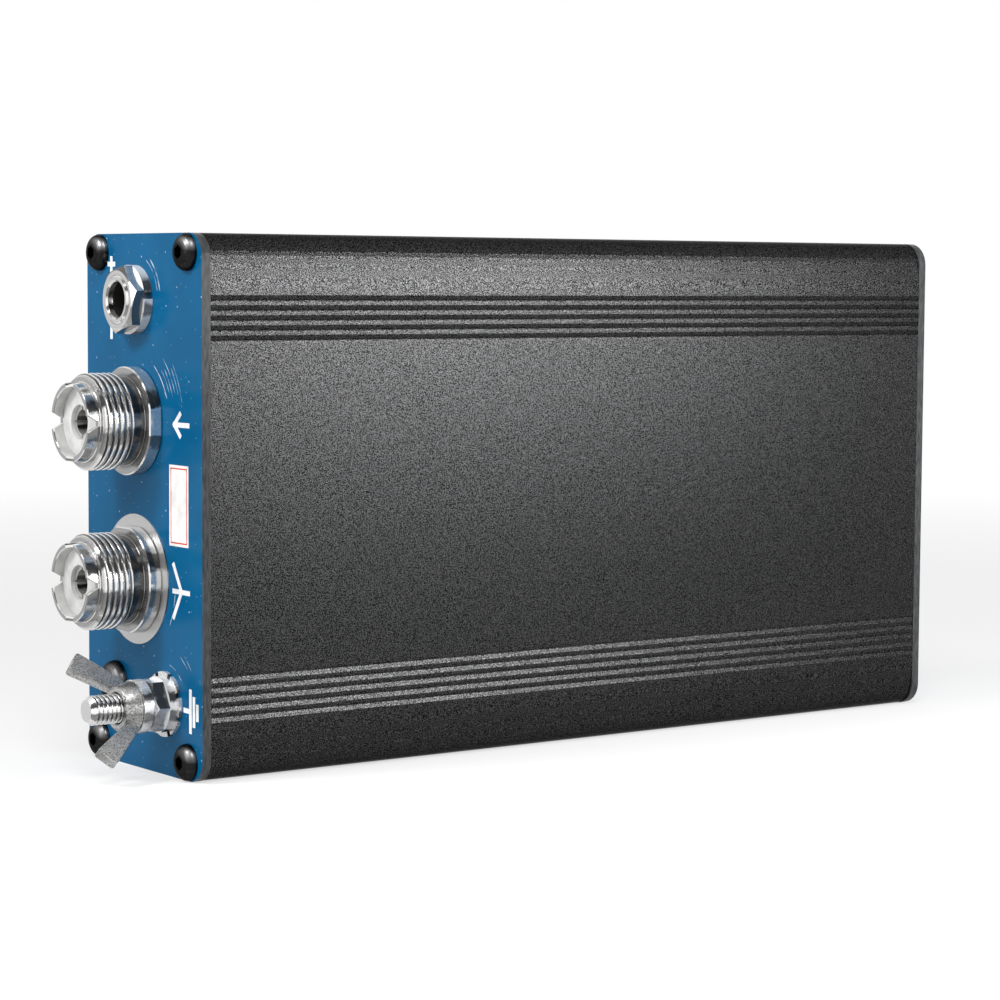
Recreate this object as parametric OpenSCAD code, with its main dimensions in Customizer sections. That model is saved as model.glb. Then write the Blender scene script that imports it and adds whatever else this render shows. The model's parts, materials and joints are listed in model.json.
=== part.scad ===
// Automatic antenna tuner in a split extruded case, standing on one narrow side.
// X runs along the case from the connector panel (-X) to the control panel (+X), Z is up,
// and Y goes from the underside's broad face (-Y) to the lid's broad face (+Y).
// The origin is the middle of the narrow side that the case stands on. Millimetres.

/* [Case] */
// Length of the two extruded case halves
body_len = 155; // [148:1:220]
// Height of the case as it stands on its narrow side
body_h = 88; // [86:1:110]
// Depth of the case across its two broad faces
body_d = 38; // [38:1:50]
// Wall thickness of the extrusion
wall = 1.8; // [1.5:0.1:2.2]
// Outer radius of the long corners
corner_r = 4; // [3.5:0.5:5]
// Inward lean of the curved band where it meets the long corner, in degrees
edge_lean = 7; // [4:1:12]
// Where the curved band starts, measured from the narrow side
lean_start = 9.85; // [8.5:0.05:10]
// Number of grooves in each groove band
groove_count = 5; // [3:1:6]
// Spacing of the grooves
groove_pitch = 1.6; // [1.2:0.1:1.8]
// Share of the spacing taken up by the sloping side of one groove
groove_share = 0.5; // [0.4:0.05:0.6]
// Depth of one groove
groove_depth = 0.25; // [0.2:0.05:0.6]
// Share of the spacing taken up by the rounded shoulder of one ridge
shoulder_share = 0.3; // [0.1:0.05:0.35]
// How far that shoulder draws in
shoulder_drop = 0.07; // [0.04:0.01:0.1]
// Offset of the two seams from the mid plane
seam_shift = 1.5; // [1:0.1:2.5]
// Wall thickness beside the seams
seam_wall = 2.6; // [2.4:0.1:3.2]
// Width of the thickened wall beside the seams
seam_pad = 5; // [4:0.5:7]
// Thickness of the tongue in the seam
tongue_t = 0.8; // [0.6:0.1:1]
// Length of the tongue in the seam
tongue_l = 1.6; // [1:0.1:2]
// Gap between the two case halves
seam_gap = 0.1; // [0.05:0.05:0.2]

/* [Panels and screws] */
// Thickness of both end panels
panel_t = 1.6; // [1.2:0.1:2]
// Radial clearance of the panel holes
panel_clear = 0.1; // [0.1:0.05:0.2]
// Diameter of the panel screws
screw_d = 3; // [2.5:0.5:3]
// Diameter of the screws' button heads
screw_head_d = 6; // [5.5:0.1:6.4]
// Height of the screws' button heads
screw_head_h = 1.8; // [1.5:0.1:2.2]
// Hexagon socket of the screws across flats
screw_key = 2; // [1.5:0.5:2]
// Depth of the hexagon socket
screw_key_depth = 1.1; // [0.8:0.1:1.3]
// Length of screw inside the case
screw_len = 7; // [5:0.5:12]
// Distance of the screws from the broad faces
screw_side = 4.5; // [4:0.1:4.8]
// Distance of the screws from the narrow sides
screw_edge = 3.1; // [3.1:0.1:3.6]
// Wall round the screw channels
channel_wall = 1.3; // [1:0.1:1.5]
// Width of the slot that opens each screw channel
channel_slot = 1.2; // [0.8:0.1:1.6]
// Diameter of the single larger screw beside the earth post
stay_d = 4; // [3.5:0.1:4.2]
// Diameter of that screw's button head
stay_head_d = 7.6; // [7:0.1:8]
// Height of that screw's button head
stay_head_h = 2.2; // [1.8:0.1:2.4]
// Hexagon socket of that screw across flats
stay_key = 2.5; // [2:0.5:2.5]
// Depth of that hexagon socket
stay_key_depth = 1.3; // [1:0.1:1.5]
// Length of that screw inside the case
stay_len = 6; // [5:0.5:8]
// Distance of that screw from the mid plane, towards the lid
stay_side = 9.2; // [9:0.1:10.5]
// Height of that screw above the narrow side
stay_up = 13.2; // [13:0.1:14.5]
// Across flats of that screw's nut
stay_nut_af = 7; // [6.8:0.1:7.4]
// Thickness of that screw's nut
stay_nut_t = 3.2; // [2.8:0.1:3.4]
// Radial gap between a thread or pin and the hole that it sits in
fit_gap = 0.05; // [0.03:0.01:0.08]

/* [Coaxial sockets] */
// Distance of the sockets and the power jack from the mid plane
socket_y = 2.4; // [1:0.1:4]
// Height of the input socket above the middle
input_up = 13.4; // [12:0.1:14]
// Distance of the antenna socket below the middle
antenna_down = 12.7; // [12:0.1:14]
// Outer diameter of the coupling thread
thread_d = 15.875; // [15.5:0.005:16.2]
// Length of the coupling thread
thread_l = 5.8; // [4:0.1:8]
// Chamfer at both ends of the thread
thread_chamfer = 0.6; // [0.3:0.1:0.8]
// Diameter of the flange on the panel
flange_d = 17.8; // [17:0.1:20]
// Thickness of the flange
flange_t = 2.3; // [1.5:0.1:3]
// Distance across the two flats on the flange
flange_flats = 17.3; // [16.8:0.1:17.8]
// Diameter of the plain neck behind the thread
neck_d = 14.6; // [14:0.1:15.2]
// Length of the plain neck
neck_l = 1.9; // [1:0.1:3]
// Diameter of the plain collar at the mouth
collar_d = 13; // [12.8:0.1:13.6]
// Length of the plain collar
collar_l = 2.2; // [1.9:0.1:3]
// Bore of the mouth
mouth_d = 11.3; // [11:0.1:11.8]
// Depth from the mouth to the insulator
mouth_depth = 1.8; // [1.5:0.1:3.5]
// Width of the four notches at the rim
notch_w = 2.7; // [2:0.1:3.2]
// Width of the notches at their bottom
notch_root = 0.7; // [0.4:0.1:1.2]
// Depth of the notches
notch_depth = 1.85; // [1:0.05:1.9]
// Diameter of the threaded shank through the panel
shank_d = 12; // [11.5:0.1:13]
// Length of the shank inside the case
shank_l = 7; // [5:0.5:8]
// Diameter of the insulator inside the shank
insulator_d = 8.2; // [7.5:0.1:9]
// Length of insulator that stands out of the shank
insulator_tail = 1.5; // [1:0.1:2.5]
// Outer diameter of the centre contact
contact_d = 5.6; // [5.2:0.1:6]
// Bore of the centre contact
contact_bore = 4; // [3.9:0.01:4.2]
// Depth of the contact's bore
contact_depth = 9; // [8:0.5:11]
// Depth of the contact below the insulator's face
contact_sink = 0.6; // [0.2:0.1:1]
// Width of the slots that split the contact
contact_slot = 0.4; // [0.3:0.05:0.6]
// Length of the slots that split the contact
contact_slot_l = 5; // [3:0.5:7]
// Diameter of the contact's solder cup
cup_d = 3.6; // [3:0.1:4.4]
// Length of the solder cup behind the insulator
cup_l = 3; // [2:0.5:4]
// Across flats of the nut inside the panel
socket_nut_af = 16; // [15:0.5:17]
// Thickness of the nut inside the panel
socket_nut_t = 2.5; // [2:0.1:3.5]
// Diameter of the earth tag under the nut
tag_d = 15.4; // [14.5:0.1:17]
// Thickness of the earth tag
tag_t = 0.6; // [0.4:0.1:1]
// Width of the tag's tail
tag_w = 4; // [3:0.5:5]
// Diameter of the tinned ring under the antenna socket
pad_d = 21.5; // [20.5:0.1:23]
// Thickness of the tinned ring
pad_t = 0.2; // [0.1:0.05:0.5]

/* [Power jack] */
// Distance of the jack from the upper narrow side
jack_down = 10.8; // [10.5:0.1:12]
// Outer diameter of the jack's threaded ferrule
ferrule_d = 8; // [7.8:0.1:8.4]
// Bore of the ferrule
ferrule_bore = 6.7; // [6.5:0.1:7]
// Depth of the narrower lip at the ferrule's rim
ferrule_lip = 1.2; // [0.8:0.1:1.6]
// Chamfer of the ferrule's rim
ferrule_chamfer = 0.3; // [0.2:0.05:0.4]
// Bore that takes the plug
jack_bore = 5.9; // [5.6:0.1:6.1]
// Depth of the bore that takes the plug
jack_depth = 9.5; // [8:0.5:11]
// Diameter of the jack's centre pin
jack_pin_d = 2.1; // [2:0.05:2.5]
// Diameter of the pin's tail in the moulded body
jack_pin_tail = 1.5; // [1.2:0.1:1.7]
// How far the centre pin lies behind the ferrule's rim
jack_pin_back = 2.3; // [1.5:0.1:3]
// How far the ferrule stands out of its nut
ferrule_proud = 0.3; // [0.1:0.1:1]
// Diameter of the flange inside the panel
ferrule_flange_d = 11; // [10:0.1:12]
// Thickness of the flange inside the panel
ferrule_flange_t = 1.5; // [1:0.1:2]
// Diameter of the jack's moulded body
jack_body_d = 10.4; // [9.5:0.1:11]
// Length of the jack's moulded body
jack_body_l = 11; // [9:0.5:13]
// Across flats of the jack's nut
jack_nut_af = 10; // [9.5:0.1:11]
// Turn of the jack's nut, in degrees
jack_nut_turn = 75; // [61:1:89]
// Thickness of the jack's nut
jack_nut_t = 2; // [1.5:0.1:3]
// Outer diameter of the split lock washer
jack_washer_d = 11.3; // [10.8:0.1:12]
// Thickness of the split lock washer
jack_washer_t = 1.5; // [1:0.1:2]
// Opening of the split lock washer, in degrees
jack_washer_gap = 12; // [6:1:20]
// Turn of that opening above the jack's middle, in degrees
jack_washer_turn = 8; // [0:1:20]
// Width of the jack's two solder tags
jack_tag_w = 2; // [1.5:0.1:3]
// Thickness of the jack's solder tags
jack_tag_t = 0.5; // [0.3:0.1:0.8]
// Length of the jack's solder tags
jack_tag_l = 4; // [3:0.5:6]

/* [Earth post] */
// Distance of the earth post from the underside's broad face
post_side = 11.75; // [11:0.05:13]
// Height of the earth post above the narrow side it stands on
post_up = 11.7; // [11.5:0.1:14]
// Diameter of the earth post's thread
post_d = 5; // [4.5:0.1:5.2]
// Length of the post outside the panel
post_out = 14.6; // [14:0.1:20]
// Chamfer at the end of the post
post_chamfer = 0.5; // [0.2:0.1:0.8]
// Across flats of the post's head inside the case
post_head_af = 8; // [7:0.1:8.5]
// Thickness of the post's head
post_head_t = 3; // [2:0.1:3.5]
// Outer diameter of the toothed washer
star_d = 10.7; // [10:0.1:12]
// Thickness of the toothed washer
star_t = 0.6; // [0.4:0.1:1]
// Number of teeth on the toothed washer
star_teeth = 8; // [6:1:12]
// Width of the gaps between the teeth
star_gap_w = 0.9; // [0.6:0.1:1.2]
// Depth of the gaps between the teeth
star_gap_depth = 0.9; // [0.6:0.1:1.4]
// Outer diameter of the split spring washer
spring_d = 9.2; // [8.6:0.1:9.8]
// Thickness of the split spring washer
spring_t = 1.2; // [0.8:0.1:1.6]
// Opening of the split spring washer, in degrees
spring_gap = 12; // [6:1:20]
// Turn of that opening from level, in degrees
spring_turn = -61; // [-80:1:40]
// Across flats of the post's nut
post_nut_af = 8; // [7.5:0.1:8.5]
// Thickness of the post's nut
post_nut_t = 2.4; // [2:0.1:3]
// Gap between the nut and the clamp washer at rest
clamp_gap = 0.4; // [0.3:0.1:1]
// Outer diameter of the clamp washer
clamp_d = 8.8; // [8:0.1:10]
// Thickness of the clamp washer
clamp_t = 1.7; // [1.2:0.1:2]
// Radial running gap on the post
run_gap = 0.06; // [0.03:0.01:0.1]
// Diameter of the wing nut's base
wing_base_d = 8.4; // [7.8:0.1:9]
// Diameter of the wing nut's hub at the top
wing_top_d = 7.2; // [6.8:0.1:7.6]
// Height of the wing nut's hub
wing_hub_h = 2.9; // [2.6:0.1:4]
// Radius that the wings reach
wing_reach = 10.4; // [9:0.1:11]
// Height of the wings' tips above the base
wing_rise = 9; // [8:0.1:10]
// Width of a wing across its outer end
wing_end = 3.9; // [3:0.1:5]
// Rounding of the wings' outer corners
wing_round = 0.5; // [0.4:0.1:1.2]
// Thickness of the wings
wing_t = 2.2; // [1.6:0.1:2.6]
// Turn of the wings from upright at rest, in degrees
wing_turn = 39; // [0:1:90]
// Diameter of the earth lug inside the panel
lug_d = 9.6; // [9:0.1:11]
// Thickness of the earth lug
lug_t = 0.8; // [0.5:0.1:1.2]
// Width of the earth lug's tail
lug_w = 4; // [3:0.5:5]

/* [Controls and display] */
// Spacing of the push buttons
button_pitch = 10.2; // [10:0.1:10.6]
// Distance of the first button below the middle
button_down = 2.5; // [2:0.1:3]
// Diameter of the buttons
button_d = 6; // [5:0.5:7]
// How far the buttons stand out of the panel
button_out = 2.2; // [1.5:0.1:3]
// Diameter of the collar that keeps a button behind the panel
button_collar_d = 8; // [7.8:0.1:9]
// Thickness of that collar
button_collar_t = 0.8; // [0.6:0.1:1]
// Gap between the collar and the panel at rest
button_rest_gap = 0.3; // [0.3:0.05:0.5]
// Travel of the push buttons
button_travel = 0.5; // [0.3:0.05:0.6]
// Diameter of the stems that press the switches
stem_d = 3.4; // [3:0.1:3.6]
// Side of the square push switches
switch_side = 6.2; // [6:0.1:7]
// Height of the push switches
switch_h = 3; // [2.8:0.1:3.4]
// Travel of the latching power button
power_travel = 1.5; // [1:0.1:1.7]
// Side of the square power switch
power_side = 7; // [6.5:0.1:7.4]
// Height of the display's window across the panel
window_h = 13; // [12:0.5:15]
// Width of the display's window along the panel
window_w = 24; // [22:0.5:26]
// Distance of the window's centre above the middle
window_up = 19; // [18:0.5:21]
// Gap round the window
window_gap = 0.1; // [0.05:0.05:0.2]
// Width of the display glass
glass_w = 26.6; // [26.2:0.1:28]
// Height of the display glass
glass_h = 19.2; // [16:0.1:20]
// Thickness of the display glass
glass_t = 1.5; // [1:0.1:2]
// Gap between the glass and the window
glass_gap = 0.3; // [0.2:0.1:0.5]
// Width of the display's own board
display_w = 27.4; // [27:0.1:29]
// Width of the strip above the glass that takes the display's connector
display_strip = 0.4; // [0.3:0.1:1]
// Gap between the display's own board and the main board
display_gap = 0.4; // [0.3:0.1:0.8]
// Thickness of the small boards
small_board_t = 1.2; // [1:0.1:1.6]
// Height of the control board
control_h = 23; // [22:0.5:24]
// Length of the control board
control_len = 74; // [73.5:0.1:75]
// Distance from the panel to the control board
control_gap = 6.4; // [6.3:0.1:7.5]
// Side of the strip connectors
header_side = 2.5; // [2:0.1:3]
// Length of the strip connectors
header_len = 20.3; // [15:0.1:25]

/* [Main board] */
// Thickness of the main board
board_t = 1.6; // [1.2:0.1:2]
// Distance of the board's upper face below the mid plane
board_below = 8; // [7.8:0.1:9]
// Gap between the board's edges and the case
board_gap = 0.8; // [0.5:0.1:1]
// Clearance of the board in its slots
slot_clear = 0.1; // [0.05:0.05:0.2]
// Height of the ribs that form the slots
rib_h = 2.4; // [1.8:0.1:3]
// Thickness of the ribs
rib_t = 1.2; // [0.8:0.1:1.6]
// Gap between the board's ends and the panels
board_end_gap = 0.3; // [0.2:0.1:0.6]
// Clearance of the board's notch round the earth post
post_notch_gap = 1.2; // [0.6:0.1:2]
// Length of the board's notch
post_notch_l = 6; // [5.5:0.5:8]

/* [Parts on the board] */
// Number of relays in the upper row
relays_upper = 8; // [6:1:8]
// Number of relays in the lower row
relays_lower = 7; // [5:1:7]
// Length of a relay
relay_l = 15.5; // [14:0.5:16]
// Width of a relay
relay_w = 10.4; // [9.5:0.1:10.8]
// Height of a relay
relay_h = 11.8; // [10:0.1:13]
// Distance of the relay rows from the middle
relay_row = 22.5; // [22.4:0.1:23]
// Distance from the connector panel to the first relays
relay_first = 31; // [30.5:0.5:32]
// Width of the capacitors
cap_w = 7; // [6:0.1:8]
// Thickness of the capacitors
cap_t = 3; // [2:0.1:4]
// Height of the capacitors
cap_h = 7; // [5:0.5:9]
// Distance of the capacitors from the middle
cap_row = 34; // [33:0.5:35]
// Wire diameter of the air-wound coils
coil_wire = 1; // [0.8:0.1:1.2]
// Pitch of the air-wound coils
coil_pitch = 1.7; // [1.6:0.1:2]
// Mean radius of the air-wound coils
coil_r = 4; // [3:0.1:4.4]
// Distance of the coils from the middle
coil_row = 7; // [6:0.5:7.5]
// Distance from the connector panel to the first pair of coils
coil_first = 45; // [43:0.5:46]
// Distance between the two pairs of coils
coil_step = 14; // [13.5:0.5:15]
// Height of the coils above the board
coil_lift = 0.6; // [0.4:0.1:1]
// Outer diameter of the powder cores
core_d = 17.5; // [16:0.1:18]
// Inner diameter of the powder cores
core_bore = 9.4; // [9:0.1:10]
// Thickness of the powder cores
core_t = 4.8; // [4:0.1:5.5]
// Distance from the connector panel to the first powder core
core_first = 74; // [73:0.5:76]
// Spacing of the powder cores
core_pitch = 12; // [11:0.5:13]
// Wire diameter of the core windings
core_wire = 0.7; // [0.5:0.05:0.75]
// Gap between winding and core
winding_gap = 0.12; // [0.1:0.01:0.15]
// Outer diameter of the coupler cores
coupler_d = 12.7; // [11:0.1:13]
// Inner diameter of the coupler cores
coupler_bore = 7.2; // [7:0.1:7.8]
// Thickness of the coupler cores
coupler_t = 4.8; // [4:0.1:5]
// Distance from the connector panel to the coupler cores
coupler_first = 30; // [29:0.5:31]
// Distance of the coupler cores from the middle
coupler_row = 7.4; // [7.2:0.1:7.5]
// Diameter of the wire through the coupler cores
link_d = 2; // [1.6:0.1:2.4]
// Half the length of the wire loop through a coupler core
link_half = 5.2; // [5:0.1:5.5]
// Diameter of the solid leads from the sockets
lead_d = 1.6; // [1.2:0.1:2]
// Bend radius of the solid leads
lead_bend = 2.4; // [2:0.1:3]
// Length of the microcontroller
chip_l = 35; // [30:0.5:36]
// Width of the microcontroller
chip_w = 7.2; // [6.5:0.1:7.6]
// Thickness of the microcontroller
chip_h = 3.4; // [3:0.1:4]
// Gap between the microcontroller's pins and the control board's connector
chip_gap = 2; // [1.5:0.1:3]
// Gap between the microcontroller's pins and the relay rows' spacing
chip_side = 1; // [0.5:0.1:1.5]
// Thickness of the microcontroller's pins
chip_pin_t = 0.5; // [0.4:0.1:0.6]
// Number of pins on each side of the microcontroller
chip_pins = 14; // [10:1:14]
// Spacing of those pins
chip_pitch = 2.54; // [2:0.01:2.54]
// Height of the microcontroller above the board
chip_lift = 0.6; // [0.4:0.1:1]
// Diameter of the electrolytic capacitors
electrolytic_d = 8; // [6:0.5:8]
// Height of the electrolytic capacitors
electrolytic_h = 11.5; // [9:0.5:13]
// Width of the voltage regulator
regulator_w = 10; // [9:0.1:10.4]
// Thickness of the voltage regulator's moulding
regulator_t = 4.5; // [4:0.1:5]
// Height of the voltage regulator's moulding
regulator_h = 9; // [8:0.5:10]
// Height of the regulator's metal tab above its moulding
regulator_tab_h = 6.2; // [5:0.1:7]
// Thickness of the regulator's metal tab
regulator_tab_t = 1.3; // [1:0.1:1.5]
// Bore of the regulator's metal tab
regulator_hole = 3.6; // [3:0.1:3.8]

/* [Hidden] */

$fn = 64;
arc_steps = 8;
curve_steps = 5;
over = 1;

half_len = body_len / 2;
half_d = body_d / 2;
mid_z = body_h / 2;
rear_x = -half_len - panel_t;
front_x = half_len + panel_t;
board_y = -board_below;

input_z = mid_z + input_up;
antenna_z = mid_z - antenna_down;
jack_z = body_h - jack_down;
post_y = -half_d + post_side;

seam_low = seam_shift - seam_gap / 2;
seam_high = -seam_shift - seam_gap / 2;
screw_y = half_d - screw_side;
screw_spots = [
  for (y = [-screw_y, screw_y], z = [screw_edge, body_h - screw_edge]) [y, z]
];

socket_l = flange_t + neck_l + thread_l + collar_l;
insulator_front = socket_l - mouth_depth;
insulator_back = -panel_t - shank_l - insulator_tail;
contact_front = insulator_front - contact_sink;
contact_back = insulator_back - cup_l;
thread_from = flange_t + neck_l;
thread_to = thread_from + thread_l;

jack_nut_from = jack_washer_t;
ferrule_front = jack_washer_t + jack_nut_t + ferrule_proud;
ferrule_back = -panel_t - ferrule_flange_t;
jack_floor = ferrule_front - jack_depth;
jack_back = ferrule_back - jack_body_l;

spring_from = star_t;
post_nut_from = star_t + spring_t;
clamp_from = post_nut_from + post_nut_t + clamp_gap;
wing_from = clamp_from + clamp_t;

control_face = -panel_t - control_gap;
collar_back = -panel_t - button_rest_gap - button_collar_t;
button_spots = [for (i = [0:2]) mid_z - button_down - i * button_pitch];
power_z = mid_z - button_down - 3 * button_pitch;
window_z = mid_z + window_up;
control_z = (body_h - control_len) / 2;
display_low = board_y + display_gap;
display_high = socket_y + glass_h / 2 + display_strip;

chip_x = body_len - control_gap - small_board_t - header_side - chip_gap - chip_pin_t - chip_w / 2;
relay_pitch = (chip_x - chip_w / 2 - chip_pin_t - chip_side - relay_first) / relays_upper;

// Points on an arc about a centre
function arc(centre, r, from, to) =
  [for (i = [0:arc_steps]) centre + r * [cos(from + (to - from) * i / arc_steps),
                                         sin(from + (to - from) * i / arc_steps)]];

// Long corner of the extrusion near its lower narrow side, drawn in by an inset: the arc that ends
// at a lean, so that the band from there to the broad face draws in by a given depth
function lean_height(inset, r, lean) = lean_start - inset - r * (1 - sin(lean));
function low_corner(inset, r, lean, depth) =
  arc([inset - half_d + depth + r * cos(lean), inset + r], r, 270, 180 + lean);
function lean_depth(r) = lean_height(0, r, edge_lean) * tan(edge_lean) / 2;

// Outer side of the long corner with its curved band, and the inner side with a straight one
function outer_corner() =
  let (rise = lean_height(0, corner_r, edge_lean), depth = lean_depth(corner_r))
  concat(low_corner(0, corner_r, edge_lean, depth), [
    for (i = [1:curve_steps - 1])
      let (u = i / curve_steps)
        [-half_d + depth * pow(1 - u, 2), lean_start - rise * (1 - u)]
  ]);
function inner_corner() =
  let (r = corner_r - wall, lean = edge_lean / 2)
  concat(low_corner(wall, r, lean, lean_height(wall, r, lean) * tan(lean)), [[wall - half_d, lean_start]]);

// Band of sloping grooves beside the curved band, from the narrow side inwards, with rounded ridges
function groove_band() =
  let (slope = groove_share * groove_pitch, shoulder = shoulder_share * groove_pitch)
  [
    for (i = [0:groove_count - 1])
      let (z = lean_start + i * groove_pitch)
        each concat([[-half_d, z], [-half_d + groove_depth, z + slope]], [
          for (k = [0:curve_steps])
            let (u = k / curve_steps)
              [-half_d + shoulder_drop * pow(1 - u, 2), z + slope + shoulder * u]
        ])
  ];

// Points in the opposite order, and a half outline followed by its mirror image
function backwards(points) = [for (i = [len(points) - 1:-1:0]) points[i]];
function both_sides(points) = concat(points, [for (p = backwards(points)) [p[0], body_h - p[1]]]);

// Section of one case half: outer face, tongue, inner face and the groove for the other half's tongue
function half_section() =
  let (tongue_from = (seam_wall - tongue_t) / 2, tongue_to = tongue_from + tongue_t)
  let (slot_from = tongue_from - seam_gap, slot_to = tongue_to + seam_gap, slot_l = tongue_l + seam_gap)
  concat(
    [[seam_low, 0]],
    both_sides(concat(outer_corner(), groove_band())),
    [[seam_high, body_h], [seam_high, body_h - tongue_from], [seam_high + tongue_l, body_h - tongue_from],
     [seam_high + tongue_l, body_h - tongue_to], [seam_high, body_h - tongue_to],
     [seam_high, body_h - seam_wall], [seam_high - seam_pad, body_h - seam_wall],
     [seam_high - seam_pad, body_h - wall]],
    backwards(both_sides(inner_corner())),
    [[seam_low - seam_pad, wall], [seam_low - seam_pad, seam_wall], [seam_low, seam_wall],
     [seam_low, slot_to], [seam_low - slot_l, slot_to], [seam_low - slot_l, slot_from],
     [seam_low, slot_from]]
  );

// Outline of a panel, a rectangle with round corners centred on the case
function panel_outline() = concat(
  arc([half_d - corner_r, corner_r], corner_r, -90, 0),
  arc([half_d - corner_r, body_h - corner_r], corner_r, 0, 90),
  arc([-half_d + corner_r, body_h - corner_r], corner_r, 90, 180),
  arc([-half_d + corner_r, corner_r], corner_r, 180, 270)
);

// Extrudes a section drawn in Y and Z along X
module along_x(from, length) {
  translate([from, 0, 0]) rotate([90, 0, 90]) linear_extrude(length) children();
}

// Places a piece on the rear panel: its own Z points out of the case and its own X points up
module on_rear(y, z) {
  translate([rear_x, y, z]) rotate([0, -90, 0]) children();
}

// Places a piece on the front panel: its own Z points out of the case and its own X points down
module on_front(y, z) {
  translate([front_x, y, z]) rotate([0, 90, 0]) children();
}

module ring(outer_d, inner_d, from, height) {
  translate([0, 0, from]) difference() {
    cylinder(d = outer_d, h = height);
    translate([0, 0, -over]) cylinder(d = inner_d, h = height + 2 * over);
  }
}

// Flat ring with one opening, centred on its own -Y side and turned by a few degrees
module split_ring(outer_d, inner_d, from, height, opening, turn) {
  translate([0, 0, from]) rotate([0, 0, -90 + turn + opening / 2])
    rotate_extrude(angle = 360 - opening)
      translate([inner_d / 2, 0]) square([(outer_d - inner_d) / 2, height]);
}

// Hexagon nut with its outer corners turned down, flats square to its own X after the turn
module hex_nut(across, bore_d, from, height, turn) {
  crown = 0.475 * across;
  reach = 0.62 * across;
  translate([0, 0, from]) rotate([0, 0, turn]) difference() {
    intersection() {
      rotate([0, 0, 30]) cylinder(d = across / cos(30), h = height + over, $fn = 6);
      rotate_extrude() polygon([
        [0, -over], [reach, -over], [reach, height - (reach - crown) * tan(30)], [crown, height], [0, height]
      ]);
    }
    translate([0, 0, -over]) cylinder(d = bore_d, h = height + 2 * over);
  }
}

// One case half with its screw channels and board slots; the other half is the same turned over
module half_shell() {
  rib_root = wall / 2;
  rib_reach = rib_root + rib_h;
  rib_low = [board_y - board_t - slot_clear - rib_t, board_y + slot_clear];
  channel_d = screw_d + 2 * fit_gap + 2 * channel_wall;
  difference() {
    union() {
      along_x(-half_len, body_len) polygon(half_section());
      for (z = [screw_edge, body_h - screw_edge])
        along_x(-half_len, body_len) translate([-screw_y, z]) circle(d = channel_d);
      for (y = rib_low, z = [rib_root, body_h - rib_root - rib_reach])
        along_x(-half_len, body_len) translate([y, z]) square([rib_t, rib_reach]);
    }
    for (side = [-1, 1]) {
      z = mid_z + side * (mid_z - screw_edge);
      along_x(-half_len - over, body_len + 2 * over) translate([-screw_y, z]) circle(d = screw_d + 2 * fit_gap);
      along_x(-half_len - over, body_len + 2 * over) translate([-screw_y, z])
        rotate(side * -45) translate([0, -channel_slot / 2]) square([screw_d + channel_wall, channel_slot]);
    }
  }
}

module bottom_shell() {
  color([0.07, 0.07, 0.075]) half_shell();
}

module top_shell() {
  color([0.07, 0.07, 0.075]) translate([0, 0, body_h]) rotate([180, 0, 0]) half_shell();
}

module panel_blank() {
  difference() {
    polygon(panel_outline());
    for (spot = screw_spots) translate(spot) circle(d = screw_d + 2 * panel_clear);
    children();
  }
}

module rear_panel() {
  color([0.1, 0.33, 0.55]) along_x(rear_x, panel_t) panel_blank() {
    for (z = [input_z, antenna_z]) translate([socket_y, z]) circle(d = shank_d + 2 * panel_clear);
    translate([socket_y, jack_z]) circle(d = ferrule_d + 2 * panel_clear);
    translate([post_y, post_up]) circle(d = post_d + 2 * panel_clear);
    translate([stay_side, stay_up]) circle(d = stay_d + 2 * panel_clear);
  }
}

module front_panel() {
  color([0.1, 0.33, 0.55]) along_x(half_len, panel_t) panel_blank() {
    for (z = concat(button_spots, [power_z]))
      translate([socket_y, z]) circle(d = button_d + 2 * run_gap);
    translate([socket_y, window_z])
      square([window_h + 2 * window_gap, window_w + 2 * window_gap], center = true);
  }
}

// Button-head screw with its seat at its own origin and a hexagon socket
module button_screw(d, length, head_d, head_h, key, key_depth) {
  rim = head_h / 6;
  top_r = key / 2;
  side_r = head_d / 2 - top_r;
  difference() {
    union() {
      rotate_extrude() polygon(concat(
        [[0, 0], [head_d / 2, 0]],
        [for (i = [0:arc_steps]) [top_r + side_r * cos(90 * i / arc_steps),
                                  rim + (head_h - rim) * sin(90 * i / arc_steps)]],
        [[0, head_h]]
      ));
      translate([0, 0, -panel_t - length]) cylinder(d = d, h = panel_t + length + rim);
    }
    translate([0, 0, head_h - key_depth]) cylinder(d = key / cos(30), h = key_depth + over, $fn = 6);
  }
}
module panel_screw() { button_screw(screw_d, screw_len, screw_head_d, screw_head_h, screw_key, screw_key_depth); }

module rear_panel_screws() {
  color([0.05, 0.05, 0.05]) for (spot = screw_spots) on_rear(spot[0], spot[1]) panel_screw();
}

module front_panel_screws() {
  color([0.05, 0.05, 0.05]) for (spot = screw_spots) on_front(spot[0], spot[1]) panel_screw();
}

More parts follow.
